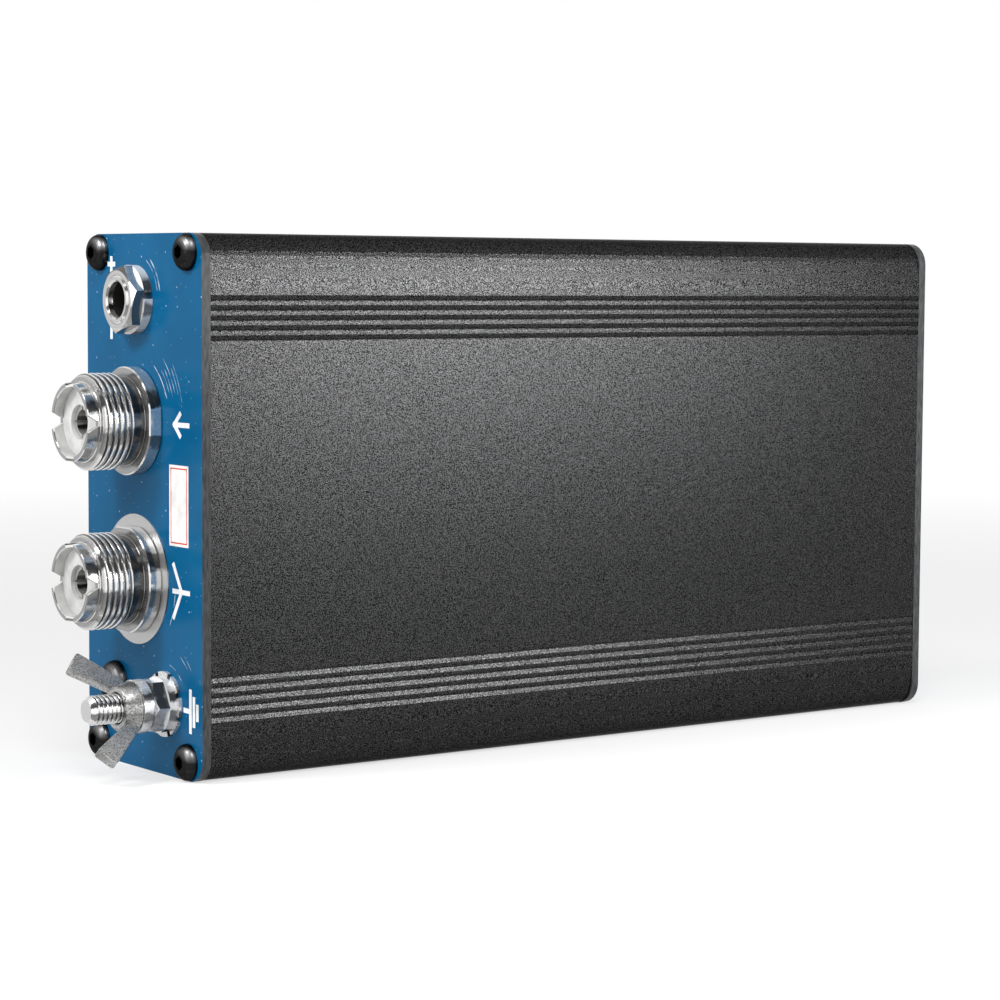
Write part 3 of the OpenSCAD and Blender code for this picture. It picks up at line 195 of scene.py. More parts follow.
# A material under construction: textures are placed by object coordinates, in metres
class Look:
    def __init__(self, name, colour, roughness, metallic=0.0, specular=0.5):
        self.material = bpy.data.materials.new(name)
        self.material.use_nodes = True
        self.tree = self.material.node_tree
        self.shader = self.tree.nodes["Principled BSDF"]
        self.set("Base Color", (*colour, 1))
        self.set("Roughness", roughness)
        self.set("Metallic", metallic)
        self.set("Specular IOR Level", specular)
        self.coords = self.tree.nodes.new("ShaderNodeTexCoord")
        self.bump_from = None

    def set(self, socket, value):
        self.shader.inputs[socket].default_value = value

    def node(self, kind, **settings):
        made = self.tree.nodes.new(kind)
        for key, value in settings.items():
            setattr(made, key, value)
        return made

    # Gives a socket a number, a colour or another node's output
    def feed(self, value, socket):
        if isinstance(value, (int, float)):
            socket.default_value = value
        elif isinstance(value, tuple):
            socket.default_value = (*value, 1)
        else:
            self.tree.links.new(value, socket)

    def maths(self, operation, a, b=0.0):
        made = self.node("ShaderNodeMath", operation=operation)
        self.feed(a, made.inputs[0])
        self.feed(b, made.inputs[1])
        return made.outputs["Value"]

    # Maps a value from one span onto another, held at the ends
    def span(self, value, low, high, to_low=0.0, to_high=1.0):
        made = self.node("ShaderNodeMapRange")
        for key, number in (("From Min", low), ("From Max", high), ("To Min", to_low), ("To Max", to_high)):
            made.inputs[key].default_value = number
        self.feed(value, made.inputs["Value"])
        return made.outputs["Result"]

    def axes(self, output):
        made = self.node("ShaderNodeSeparateXYZ")
        self.feed(self.coords.outputs[output], made.inputs["Vector"])
        return made.outputs

    # From 0 on a face turned straight down to 1 on one turned straight up
    def facing_up(self):
        return self.span(self.axes("Normal")["Z"], -1, 1)

    def noise(self, scale, detail, stretch=(1, 1, 1)):
        mapping = self.node("ShaderNodeMapping")
        mapping.inputs["Scale"].default_value = stretch
        self.feed(self.coords.outputs["Object"], mapping.inputs["Vector"])
        made = self.node("ShaderNodeTexNoise")
        made.inputs["Scale"].default_value = scale
        made.inputs["Detail"].default_value = detail
        self.feed(mapping.outputs["Vector"], made.inputs["Vector"])
        return made.outputs["Fac"]

    # Small round dots over the Y-Z plane, one to a cell, of which only some are kept
    def dots(self, scale, size, share):
        places = self.axes("Object")
        flat = self.node("ShaderNodeCombineXYZ")
        self.feed(places["Y"], flat.inputs["X"])
        self.feed(places["Z"], flat.inputs["Y"])
        made = self.node("ShaderNodeTexVoronoi", voronoi_dimensions="2D")
        made.inputs["Scale"].default_value = scale
        self.feed(flat.outputs["Vector"], made.inputs["Vector"])
        pick = self.node("ShaderNodeSeparateColor")
        self.feed(made.outputs["Color"], pick.inputs["Color"])
        near = self.maths("LESS_THAN", made.outputs["Distance"], size)
        return self.maths("MULTIPLY", near, self.maths("LESS_THAN", pick.outputs["Red"], share))

    # Colours along a value; a stop holds a grey as one number or a colour as three
    def ramp(self, source, stops):
        made = self.node("ShaderNodeValToRGB")
        points = made.color_ramp.elements
        while len(points) < len(stops):
            points.new(0.5)
        for point, (place, value) in zip(points, stops):
            point.position = place
            point.color = (value, value, value, 1) if isinstance(value, float) else (*value, 1)
        self.feed(source, made.inputs["Fac"])
        return made.outputs["Color"]

    def mix(self, factor, a, b, blend="MIX"):
        made = self.node("ShaderNodeMix", data_type="RGBA", blend_type=blend)
        self.feed(factor, made.inputs["Factor"])
        self.feed(a, made.inputs["A"])
        self.feed(b, made.inputs["B"])
        return made.outputs["Result"]

    def colour(self, source):
        self.feed(source, self.shader.inputs["Base Color"])

    def roughness(self, source, low, high):
        self.feed(self.span(source, *NOISE_SPAN, low, high), self.shader.inputs["Roughness"])

    # Adds a bump on top of those before it
    def bump(self, source, height_mm, strength=1.0):
        made = self.node("ShaderNodeBump")
        made.inputs["Distance"].default_value = height_mm * MM
        made.inputs["Strength"].default_value = strength
        self.feed(source, made.inputs["Height"])
        if self.bump_from is not None:
            self.feed(self.bump_from, made.inputs["Normal"])
        self.bump_from = made.outputs["Normal"]
        self.feed(self.bump_from, self.shader.inputs["Normal"])


# Sand-blasted black anodising: a fine grain that glints where it faces the light
def anodised():
    look = Look("anodised_black", (0.022, 0.022, 0.0222), 0.28, 1.0)
    look.set("Specular Tint", (0.46, 0.46, 0.46, 1))
    grain = look.noise(6200, 0.0)
    tones = [(0.3, 0.004), (0.5, (0.021, 0.021, 0.0212)), (0.7, (0.06, 0.06, 0.0606))]
    look.colour(look.ramp(grain, tones))
    look.roughness(grain, 0.26, 0.32)
    look.bump(grain, 0.03)
    return look.material


# Worn arcs on the connector panel: axis, radius, half width, and direction with its half angle in degrees
SCUFFS = [
    (SOCKET_Y, JACK_Z, 7.3, 0.09, (-0.8, 0.6, 24)),
    (SOCKET_Y, JACK_Z, 8.1, 0.12, (-0.85, 0.53, 20)),
    (SOCKET_Y, INPUT_Z, 10.9, 0.1, (-0.78, 0.63, 16)),
    (SOCKET_Y, INPUT_Z, 12.0, 0.06, (-0.8, 0.6, 12)),
    (SOCKET_Y, INPUT_Z, 12.8, 0.09, (-0.86, 0.51, 10)),
    (SOCKET_Y, INPUT_Z, 13.7, 0.06, (-0.82, 0.57, 14)),
    (SOCKET_Y, INPUT_Z, 14.6, 0.07, (-0.88, 0.47, 9)),
    (SOCKET_Y, INPUT_Z, 15.4, 0.05, (-0.9, 0.44, 12)),
    (SOCKET_Y, ANTENNA_Z, 12.8, 0.08, (-0.95, -0.31, 12)),
    (POST_Y, POST_Z, 6.6, 0.06, (-0.5, 0.87, 18)),
    (POST_Y, POST_Z, 9.4, 0.07, (-0.62, 0.78, 8)),
    (POST_Y, POST_Z, 10.3, 0.06, (-0.68, 0.73, 9)),
]


# A worn arc round an axis square to the panel, on the side that "toward" points to
def scuff(look, places, y, z, radius, width, toward):
    dy = look.maths("SUBTRACT", places["Y"], y * MM)
    dz = look.maths("SUBTRACT", places["Z"], z * MM)
    square = look.maths("ADD", look.maths("MULTIPLY", dy, dy), look.maths("MULTIPLY", dz, dz))
    away = look.maths("SQRT", square)
    off = look.maths("ABSOLUTE", look.maths("SUBTRACT", away, radius * MM))
    ring = look.maths("LESS_THAN", off, width * MM)
    along = look.maths("ADD", look.maths("MULTIPLY", dy, toward[0]), look.maths("MULTIPLY", dz, toward[1]))
    side = look.maths("GREATER_THAN", along, radius * MM * math.cos(math.radians(toward[2])))
    return look.maths("MULTIPLY", ring, side)


# Wear of a panel's mask: coarse and fine specks, and on the connector panel the broken arcs
def panel_wear(look, places):
    fine = look.maths("MULTIPLY", look.dots(640, 0.06, 0.16), 0.5)
    specks = look.maths("MULTIPLY", look.maths("MAXIMUM", look.dots(260, 0.036, 0.16), fine), 0.7)
    arcs = 0.0
    for y, z, radius, width, toward in SCUFFS:
        arcs = look.maths("MAXIMUM", arcs, scuff(look, places, y, z, radius, width, toward))
    arcs = look.maths("MULTIPLY", arcs, look.maths("LESS_THAN", places["X"], 0.0))
    arcs = look.maths("MULTIPLY", arcs, look.span(look.noise(420, 4.0), 0.36, 0.56))
    return look.maths("MULTIPLY", look.maths("MAXIMUM", specks, arcs), 0.7)


# Blue solder mask on a panel's outer face, bare laminate on its cut edges and its inner face
def laminate():
    look = Look("panel_blue", (0.001, 0.09, 0.215), 0.2, specular=0.06)
    places = look.axes("Object")
    mask = look.ramp(look.noise(90, 4.0), [(0.3, (0.001, 0.077, 0.184)), (0.7, (0.002, 0.095, 0.22))])
    mask = look.mix(panel_wear(look, places), mask, (0.62, 0.72, 0.78))
    weave = look.noise(2400, 3.0, (1, 0.2, 0.2))
    fibre = look.ramp(weave, [(0.3, (0.026, 0.027, 0.028)), (0.7, (0.064, 0.066, 0.068))])
    outer = look.maths("GREATER_THAN", look.maths("ABSOLUTE", places["X"]), (abs(REAR_X) - MASK_REACH) * MM)
    facing = look.maths("GREATER_THAN", look.maths("ABSOLUTE", look.axes("Normal")["X"]), 0.8)
    look.colour(look.mix(look.maths("MULTIPLY", outer, facing), fibre, mask))
    look.roughness(look.noise(420, 5.0), 0.14, 0.26)
    look.bump(look.noise(700, 2.0), 0.02, 0.2)
    return look.material


# Painted reflection on a polished round: light and dark greys by how far a face turns, from a face turned
# down at 0 to one turned up at 1, standing in for the studio it would reflect
PAINTED_REFLECTION_BANDS = [
    (0.0, 0.15), (0.04, 0.4), (0.08, 0.65), (0.25, 0.7), (0.29, 0.24), (0.43, 0.18), (0.47, 0.8),
    (0.6, 0.95), (0.64, 0.06), (0.76, 0.05), (0.8, 0.36), (0.84, 0.62), (1.0, 0.9),
]


# Bright plating: painted reflection bands round its curves, one painted reflection grey on its outward
# ends, and painted shade in its thread recesses
def plated(name, tint, low, high, band_wobble_scale=700, recess=False, end=1.0, metal=0.85):
    look = Look(name, tint, (low + high) / 2, metal)
    # Painted reflection: bands by how far a face turns up, wobbled a little by noise
    band_wobble = look.span(look.noise(band_wobble_scale, 4.0), *NOISE_SPAN, -0.03, 0.03)
    place = look.maths("ADD", look.facing_up(), band_wobble)
    tone = look.mix(1.0, look.ramp(place, PAINTED_REFLECTION_BANDS), tint, "MULTIPLY")
    # Faces turned outward along -X get one flat painted reflection grey in place of the bands
    if end < 1:
        square = look.span(look.axes("Normal")["X"], -0.98, -0.85, 1.0, 0.0)
        tone = look.mix(square, tone, (end, end, end))
    # Painted shade: the deeper part of each thread groove darkens towards near black
    if recess:
        deep = look.node("ShaderNodeAttribute", attribute_name="recess").outputs["Fac"]
        tone = look.mix(look.span(deep, 0.4, 1.0, 0.0, 0.8), tone, (0.03, 0.03, 0.03))
    look.colour(tone)
    look.roughness(look.noise(1500, 3.0, (0.15, 1, 1)), low, high)
    look.bump(look.noise(2500, 2.0, (1, 0.3, 0.3)), 0.004, 0.4)
    return look.material


# Cast and brushed zinc: a grey skin with fine scratches, over painted reflection bands by how far a face
# turns up, toned down towards grey
def cast_zinc():
    look = Look("cast_zinc", (0.4, 0.4, 0.39), 0.36, 1.0)
    lump = look.noise(1300, 3.0)
    scratch = look.noise(6500, 3.0, (0.6, 1, 0.6))
    # Painted reflection: bands by how far a face turns up, mixed most of the way to an even grey
    tone = look.mix(1.0, look.ramp(look.facing_up(), PAINTED_REFLECTION_BANDS), (1.0, 1.0, 0.99), "MULTIPLY")
    tone = look.mix(0.7, tone, (0.27, 0.27, 0.266))
    marks = look.ramp(scratch, [(0.36, 0.45), (0.5, 0.95), (0.64, (1.4, 1.4, 1.39))])
    look.colour(look.mix(1.0, tone, marks, "MULTIPLY"))
    look.roughness(lump, 0.24, 0.38)
    look.bump(lump, 0.03, 0.5)
    look.bump(scratch, 0.015, 0.5)
    return look.material


# Black oxide on the screws: dark and glossy, rubbed bare in spots, with a painted highlight on the upper
# shoulder of each head
def black_oxide():
    look = Look("screw_black", (0.026, 0.026, 0.026), 0.33, 1.0)
    look.set("Specular Tint", (0.5, 0.5, 0.5, 1))
    wear = look.noise(2200, 5.0)
    skin = look.ramp(wear, [(0.4, 0.015), (0.66, 0.026), (0.84, (0.11, 0.108, 0.104))])
    # Painted highlight: a lighter grey where a head's face turns partly up and towards -Y
    normal = look.axes("Normal")
    painted_highlight = look.maths("MULTIPLY", look.span(normal["Z"], 0.05, 0.4), look.span(normal["Z"], 0.8, 0.5))
    painted_highlight = look.maths("MULTIPLY", painted_highlight, look.span(normal["Y"], 0.25, -0.2))
    look.colour(look.mix(painted_highlight, skin, (0.17, 0.17, 0.174)))
    look.roughness(wear, 0.3, 0.36)
    look.bump(wear, 0.004, 0.5)
    return look.material


# Moulded, printed or lacquered stuff in one colour, with a faint cloud and a fine skin
def moulded(name, colour, low, high, fine=2200, height=0.02, specular=0.4):
    look = Look(name, colour, (low + high) / 2, specular=specular)
    cloud = look.noise(350, 3.0)
    darker, lighter = (tuple(c * share for c in colour) for share in (0.8, 1.2))
    look.colour(look.ramp(cloud, [(0.3, darker), (0.7, lighter)]))
    look.roughness(cloud, low, high)
    look.bump(look.noise(fine, 2.0), height, 0.4)
    return look.material


# Green boards with the tracks showing faintly through their mask
def circuit_board():
    look = Look("board_green", (0.02, 0.17, 0.09), 0.35, specular=0.3)
    tracks = look.noise(220, 2.0, (1, 1, 0.35))
    look.colour(look.ramp(tracks, [(0.45, (0.012, 0.12, 0.065)), (0.5, (0.03, 0.22, 0.12))]))
    look.roughness(look.noise(500, 3.0), 0.26, 0.42)
    look.bump(tracks, 0.03, 0.3)
    return look.material


# Smoked window in front of the display
def smoked_window():
    look = Look("window_smoke", (0.02, 0.02, 0.024), 0.08)
    look.set("Alpha", 0.82)
    look.roughness(look.noise(240, 4.0), 0.05, 0.12)
    look.bump(look.noise(300, 2.0), 0.004, 0.2)
    return look.material


def make_materials():
    return {
        "case_black": anodised(),
        "panel_blue": laminate(),
        "screw_black": black_oxide(),
        "nickel": plated("nickel", (1.0, 0.99, 0.97), 0.12, 0.24, end=0.5),
        "nickel_washer": plated("nickel_washer", (1.0, 0.99, 0.97), 0.26, 0.38, metal=0.35),
        "nickel_thread": plated("nickel_thread", (1.0, 0.99, 0.97), 0.12, 0.24, recess=True, end=0.34),
        "nickel_satin": moulded("nickel_satin", (0.46, 0.46, 0.45), 0.3, 0.42, 1800, 0.01),
        "zinc_steel": plated("zinc_steel", (0.96, 0.97, 0.98), 0.18, 0.32, 1100, end=0.6, metal=0.6),
        "zinc_thread": plated("zinc_thread", (1.0, 1.0, 0.99), 0.18, 0.32, 1100, recess=True, end=0.55),
        "cast_zinc": cast_zinc(),
        "tinned": plated("tinned", (0.9, 0.89, 0.86), 0.3, 0.45, 900, end=0.5),
        "copper": plated("copper", (0.85, 0.4, 0.19), 0.2, 0.32),
        "insulator_white": moulded("insulator_white", (0.55, 0.55, 0.54), 0.36, 0.5, 1400, 0.01),
        "black_plastic": moulded("black_plastic", (0.014, 0.014, 0.014), 0.4, 0.55, specular=0.25),
        "button_black": moulded("button_black", (0.03, 0.03, 0.031), 0.38, 0.5),
        "relay_black": moulded("relay_black", (0.03, 0.03, 0.033), 0.35, 0.5),
        "film_brown": moulded("film_brown", (0.4, 0.15, 0.04), 0.25, 0.4),
        "core_red": moulded("core_red", (0.42, 0.04, 0.03), 0.4, 0.55),
        "core_grey": moulded("core_grey", (0.09, 0.09, 0.095), 0.5, 0.7),
        "wire_red": moulded("wire_red", (0.45, 0.025, 0.02), 0.35, 0.5),
        "sleeve_blue": moulded("sleeve_blue", (0.03, 0.04, 0.1), 0.3, 0.45),
        "display_dark": moulded("display_dark", (0.008, 0.008, 0.012), 0.06, 0.12, 300, 0.002),
        "paper_white": moulded("paper_white", (0.72, 0.71, 0.69), 0.6, 0.75, 1600, 0.03, 0.2),
        "paper_red": moulded("paper_red", (0.55, 0.05, 0.04), 0.55, 0.7, 1600, 0.02, 0.2),
        "ink_white": moulded("ink_white", (0.74, 0.76, 0.77), 0.4, 0.55, 2200, 0.01, 0.2),
        "board_green": circuit_board(),
        "window_smoke": smoked_window(),
    }


# Washers with a duller finish than that of their slot
DULL_WASHERS = ("jack_lock_washer", "earth_spring_washer")


# Gives every node of the frame the material of its slot, and the dull washers their own
def dress(looks):
    for part in frame["record"]["subparts"]:
        slot = "nickel_washer" if part["node"] in DULL_WASHERS else part["material_slot"]
        materials = NODES[part["node"]].data.materials
        materials.clear()
        materials.append(looks[slot])


# Edges of the frame's nodes that show a rounding: width of the rounding in millimetres, and its segments
EDGES = {
    "jack_nut": (0.15, 2),
    "jack_ferrule": (0.1, 2),
    "jack_lock_washer": (0.45, 4),
    "earth_nut": (0.12, 2),
    "earth_star_washer": (0.08, 2),
    "earth_spring_washer": (0.3, 4),
    "clamp_washer": (0.12, 2),
    "rear_panel_screws": (0.08, 2),
    "front_panel_screws": (0.08, 2),
    "stay_screw": (0.08, 2),
    "rear_panel": (0.1, 2),
    "front_panel": (0.1, 2),
    "bottom_shell": (0.12, 2),
    "top_shell": (0.12, 2),
}
EDGE_ANGLE = math.radians(35)


def soften_edges():
    for node, (width, segments) in EDGES.items():
        bevel = NODES[node].modifiers.new("edge", "BEVEL")
        bevel.width = width * MM
        bevel.segments = segments
        bevel.limit_method = "ANGLE"
        bevel.angle_limit = EDGE_ANGLE


# Adds a piece that rides on a body; its edges sharper than "smooth" degrees stay sharp
def add_mesh(name, mesh, material, body, smooth):
    mesh.materials.append(material)
    piece = bpy.data.objects.new(name, mesh)
    bpy.context.collection.objects.link(piece)
    for face in mesh.polygons:
        face.use_smooth = True
    mesh.set_sharp_from_angle(angle=math.radians(smooth))
    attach(piece, body)
    return piece


# Point at a radius, angle and height over the connector panel, about an axis square to it
def panel_point(y, z, r, angle, height):
    return Vector((REAR_X - height, y + r * math.sin(angle), z + r * math.cos(angle))) * MM


# Adds a skin over rings of points to a solid, each ring as long as the others
def add_skin(solid, rings, closed):
    count = len(rings[0])
    made = [[solid.verts.new(p) for p in ring] for ring in rings]
    pairs = list(zip(made, made[1:]))
    if closed:
        pairs.append((made[-1], made[0]))
    for a, b in pairs:
        for k in range(count):
            n = (k + 1) % count
            solid.faces.new((a[k], a[n], b[n], b[k]))
    if not closed:
        solid.faces.new(made[0][::-1])
        solid.faces.new(made[-1])


def finish_mesh(name, solid):
    bmesh.ops.remove_doubles(solid, verts=solid.verts, dist=MERGE_M)
    bmesh.ops.recalc_face_normals(solid, faces=solid.faces)
    mesh = bpy.data.meshes.new(name)
    solid.to_mesh(mesh)
    solid.free()
    return mesh


def clamp(value):
    return min(1.0, max(0.0, value))


# Notes on each point between two heights how deep it lies, from 0 at a thread's crest to 1 at its root
def note_recess(mesh, y, z, low, high, crest, root):
    values = mesh.attributes.new("recess", "FLOAT", "POINT").data
    for point, value in zip(mesh.vertices, values):
        height = REAR_X - point.co.x / MM
        r = math.hypot(point.co.y / MM - y, point.co.z / MM - z)
        inside = low < height < high and r > root - ROOT_SLACK
        value.value = clamp((crest - r) / (crest - root)) if inside else 0.0


# Thread profile from 0 at the root to 1 at the crest, by the place along one pitch
def thread_height(place):
    return 1 - abs(2 * (place - math.floor(place)) - 1) ** CREST_POWER


# Height of the socket's rim at an angle: four tapering notches
def rim_height(angle):
    step = TURN / NOTCH_COUNT
    across = abs((COLLAR_R + MOUTH_R) / 2 * math.sin((angle + step / 2) % step - step / 2))
    share = (NOTCH_W / 2 - across) / ((NOTCH_W - NOTCH_ROOT) / 2)
    return SOCKET_L - NOTCH_DEPTH * clamp(share)


# Angles round a socket: even steps, and the corners of its notches
def socket_angles():
    angles = [TURN * i / SOCKET_SIDES for i in range(SOCKET_SIDES)]
    for notch in range(NOTCH_COUNT):
        for across in (-NOTCH_W, -NOTCH_ROOT, NOTCH_ROOT, NOTCH_W):
            angles.append((notch * TURN / NOTCH_COUNT + math.asin(across / (COLLAR_R + MOUTH_R))) % TURN)
    return sorted(set(round(a, 6) for a in angles))


# Rows of the socket's skin: each gives a radius and a height by the angle round the axis
def turned_row(r, h):
    return lambda angle: (r, h)


def flange_row(r, h, flats_at):
    flat = FLANGE_FLAT + r - FLANGE_R
    return lambda angle: (min(r, flat / max(TINY, abs(math.cos(angle - flats_at)))), h)


def rim_row(r, drop):
    return lambda angle: (r, rim_height(angle) - drop)


def thread_row(h):
    crest = THREAD_R - max(0.0, h - THREAD_TO + RUN_OUT) * RUN_OUT_SLOPE
    depth = (THREAD_R - NECK_R) * clamp((h - THREAD_FROM) / RUN_IN)
    return lambda angle: (min(crest, NECK_R + depth * thread_height(h / THREAD_PITCH - angle / TURN)), h)


# From the shank inside the case, over the flange, neck, thread and collar, into the mouth
def socket_rows(flats_at):
    flange_top = FLANGE_T - FLANGE_EDGE
    thread_l = THREAD_TO - THREAD_FROM
    return [
        turned_row(SHANK_BORE, SHANK_BACK),
        turned_row(SHANK_R, SHANK_BACK),
        turned_row(SHANK_R, 0.0),
        flange_row(FLANGE_R - FLANGE_EDGE, 0.0, flats_at),
        flange_row(FLANGE_R, FLANGE_EDGE, flats_at),
        flange_row(FLANGE_R, flange_top, flats_at),
        flange_row(FLANGE_R - FLANGE_EDGE, FLANGE_T, flats_at),
        turned_row(NECK_R + FILLET, FLANGE_T),
        turned_row(NECK_R, FLANGE_T + FILLET),
        *(thread_row(THREAD_FROM + thread_l * i / THREAD_STEPS) for i in range(THREAD_STEPS + 1)),
        turned_row(COLLAR_R + FILLET, THREAD_TO),
        turned_row(COLLAR_R, THREAD_TO + FILLET),
        rim_row(COLLAR_R, RIM_EDGE),
        rim_row(COLLAR_R - RIM_EDGE, 0.0),
        rim_row(MOUTH_R + RIM_EDGE, 0.0),
        rim_row(MOUTH_R, RIM_EDGE),
        turned_row(MOUTH_R, FLANGE_T),
        turned_row(SHANK_BORE, FLANGE_T),
    ]


# Gives the walls of a socket's mouth the second material of its mesh
def line_mouth(mesh, z, lift):
    floor_x = REAR_X - FLANGE_T - lift
    for face in mesh.polygons:
        r = math.hypot(face.center.y / MM - SOCKET_Y, face.center.z / MM - z)
        inside = r < MOUTH_R + MOUTH_SLACK and face.center.x / MM < floor_x
        face.material_index = int(inside)


# Socket shell with its real thread: flange with two flats, neck, thread, notched collar and shank
def make_socket(node, z, lift, flats_at, looks):
    angles = socket_angles()
    rings = []
    for row in socket_rows(flats_at):
        section = [(angle, *row(angle)) for angle in angles]
        rings.append([panel_point(SOCKET_Y, z, r, angle, h + lift) for angle, r, h in section])
    solid = bmesh.new()
    add_skin(solid, rings, True)
    mesh = finish_mesh(node + "_threaded", solid)
    note_recess(mesh, SOCKET_Y, z, FLANGE_T + lift, THREAD_TO + lift, THREAD_R, NECK_R)
    piece = add_mesh(node + "_threaded", mesh, looks["nickel_thread"], "case", smooth=30)
    mesh.materials.append(looks["nickel_satin"])
    line_mouth(mesh, z, lift)
    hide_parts(node)


# Ring of points round the earth post, at a radius that may change with the angle
def post_ring(radius, h):
    angles = [TURN * i / POST_SIDES for i in range(POST_SIDES)]
    return [panel_point(POST_Y, POST_Z, radius(angle), angle, h) for angle in angles]


def post_thread_ring(h, thread_end):
    crest = POST_R - CREST_GAP - max(0.0, h - thread_end) * CHAMFER_SLOPE
    depth = POST_R - POST_ROOT
    return post_ring(lambda a: min(crest, POST_ROOT + depth * thread_height(h / POST_PITCH - a / TURN)), h)


# Hexagon head of the earth post, with its far edges broken
def post_head_rings():
    corner = HEAD_FLAT / math.cos(TURN / 12)
    sections = ((corner - HEAD_EDGE, HEAD_FROM), (corner, HEAD_FROM + HEAD_EDGE), (corner, HEAD_TO))
    return [[panel_point(POST_Y, POST_Z, r, TURN / 6 * k, h) for k in range(6)] for r, h in sections]


# Earth post with its M5 thread, a chamfered end and the hexagon head inside the case
def make_post(looks):
    thread_end = POST_END - CHAMFER
    thread_l = POST_END - TIP_EDGE - HEAD_TO
    rings = [post_ring(lambda a: POST_ROOT, HEAD_FROM + POST_SINK)]
    heights = [HEAD_TO + thread_l * i / POST_STEPS for i in range(POST_STEPS + 1)]
    rings += [post_thread_ring(h, thread_end) for h in heights]
    rings.append(post_ring(lambda a: TIP_R, POST_END))
    rings.append(post_ring(lambda a: DIMPLE_R, POST_END - DIMPLE_DEPTH))
    solid = bmesh.new()
    add_skin(solid, rings, False)
    add_skin(solid, post_head_rings(), False)
    mesh = finish_mesh("earth_post_threaded", solid)
    note_recess(mesh, POST_Y, POST_Z, HEAD_TO, thread_end, POST_R, POST_ROOT)
    piece = add_mesh("earth_post_threaded", mesh, looks["zinc_thread"], "case", smooth=40)
    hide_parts("earth_post")


# Point of the wing nut at rest: x along the wings, y across them, h outwards from its seat
def wing_point(x, y, h):
    c, s = math.cos(WING_TURN), math.sin(WING_TURN)
    return Vector((REAR_X - WING_FROM - h, POST_Y + x * s + y * c, POST_Z + x * c - y * s)) * MM


# One layer of a wing: its outline drawn in by the inset, at a share of the half thickness
def wing_ring(side, layer, inset):
    middle = Vector(WING_MIDDLE)
    ring = []
    for point in WING_OUTLINE:
        away = Vector(point) - middle
        r, h = middle + away * (1 - inset / away.length)
        half = WING_ROOT_HALF + (WING_TIP_HALF - WING_ROOT_HALF) * r / WING_REACH
        ring.append(wing_point(side * max(WING_FOOT, r), side * layer * half, h))
    return ring


# Cast wing nut: a coned hub with a bore, and two flat wings with blunt ends that thin towards their tips
def make_wing_nut(looks):
    angles = [TURN * k / HUB_SIDES for k in range(HUB_SIDES)]
    hub = [[wing_point(r * math.cos(a), r * math.sin(a), h) for a in angles] for r, h in HUB]
    solid = bmesh.new()
    add_skin(solid, hub, True)
    for side in (1, -1):
        add_skin(solid, [wing_ring(side, layer, inset) for layer, inset in WING_LAYERS], False)
    mesh = finish_mesh("wing_nut_cast", solid)
    piece = add_mesh("wing_nut_cast", mesh, looks["cast_zinc"], "wing", smooth=28)
    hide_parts("wing_nut")


# Flat plate on a panel, drawn in the panel's own plane: first number along Y, second along Z
def plate(solid, corners, lift, height, face):
    rings = [[Vector((face * (h - REAR_X), y, z)) * MM for y, z in corners] for h in (lift, lift + height)]
    add_skin(solid, rings, False)


# Straight line on a panel, with square ends half a width past its points
def stroke(solid, a, b, width, lift, height, face):
    a, b = Vector(a), Vector(b)
    along = (b - a).normalized()
    side = Vector((-along.y, along.x)) * width / 2
    ends = along * width / 2
    plate(solid, [a - ends + side, b + ends + side, b + ends - side, a - ends - side], lift, height, face)


# Generic connection signs in white ink: an arrow in, an aerial, an earth sign, plus and minus
MARKS = {
    "mark_input": [
        ((-14.6, 57.3), (-10.2, 57.3)), ((-10.2, 57.3), (-12.0, 59.0)), ((-10.2, 57.3), (-12.0, 55.6)),
    ],
    "mark_antenna": [
        ((-14.7, 30.4), (-9.9, 30.4)), ((-12.4, 30.4), (-9.9, 34.6)), ((-12.4, 30.4), (-9.9, 26.2)),
    ],
    "mark_earth": [
        ((-13.4, 11.4), (-15.2, 11.4)), ((-15.2, 14.6), (-15.2, 8.2)),
        ((-16.3, 13.5), (-16.3, 9.3)), ((-17.4, 12.4), (-17.4, 10.4)),
    ],
    "mark_power": [
        ((10.6, 83.9), (10.6, 82.1)), ((11.5, 83.0), (9.7, 83.0)), ((10.6, 73.0), (10.6, 71.0)),
    ],
}
# Signs beside the buttons, drawn round each button's own height: one step, two steps, straight through, on
CONTROL_MARKS = {
    "mark_tune": (41.5, [((-0.8, 1.4), (0.8, 0.0)), ((0.8, 0.0), (-0.8, -1.4))]),
    "mark_auto": (31.3, [
        ((-1.6, 1.4), (0.0, 0.0)), ((0.0, 0.0), (-1.6, -1.4)),
        ((0.2, 1.4), (1.8, 0.0)), ((1.8, 0.0), (0.2, -1.4)),
    ]),
    "mark_bypass": (21.1, [
        ((-1.8, 0.0), (1.8, 0.0)), ((-1.8, 1.2), (-1.8, -1.2)), ((1.8, 1.2), (1.8, -1.2)),
    ]),
    "mark_on": (10.9, [
        ((0.0, 0.3), (0.0, 1.9)), ((0.9, 1.3), (1.5, 0.4)), ((1.5, 0.4), (1.3, -0.7)),
        ((1.3, -0.7), (0.5, -1.4)), ((0.5, -1.4), (-0.5, -1.4)), ((-0.5, -1.4), (-1.3, -0.7)),
        ((-1.3, -0.7), (-1.5, 0.4)), ((-1.5, 0.4), (-0.9, 1.3)),
    ]),
}
CONTROL_Y = -6.4
MARK_W = 0.8
CONTROL_MARK_W = 0.5
INK_T = 0.02
INK_STEP = 0.2


# Prints a sign; each stroke is a little thicker than the one before, so that no two tops coincide
def print_mark(name, strokes, width, face, looks):
    solid = bmesh.new()
    for layer, (a, b) in enumerate(strokes):
        stroke(solid, a, b, width, 0, INK_T * (1 + INK_STEP * layer), face)
    add_mesh(name, finish_mesh(name, solid), looks["ink_white"], "case", smooth=30)


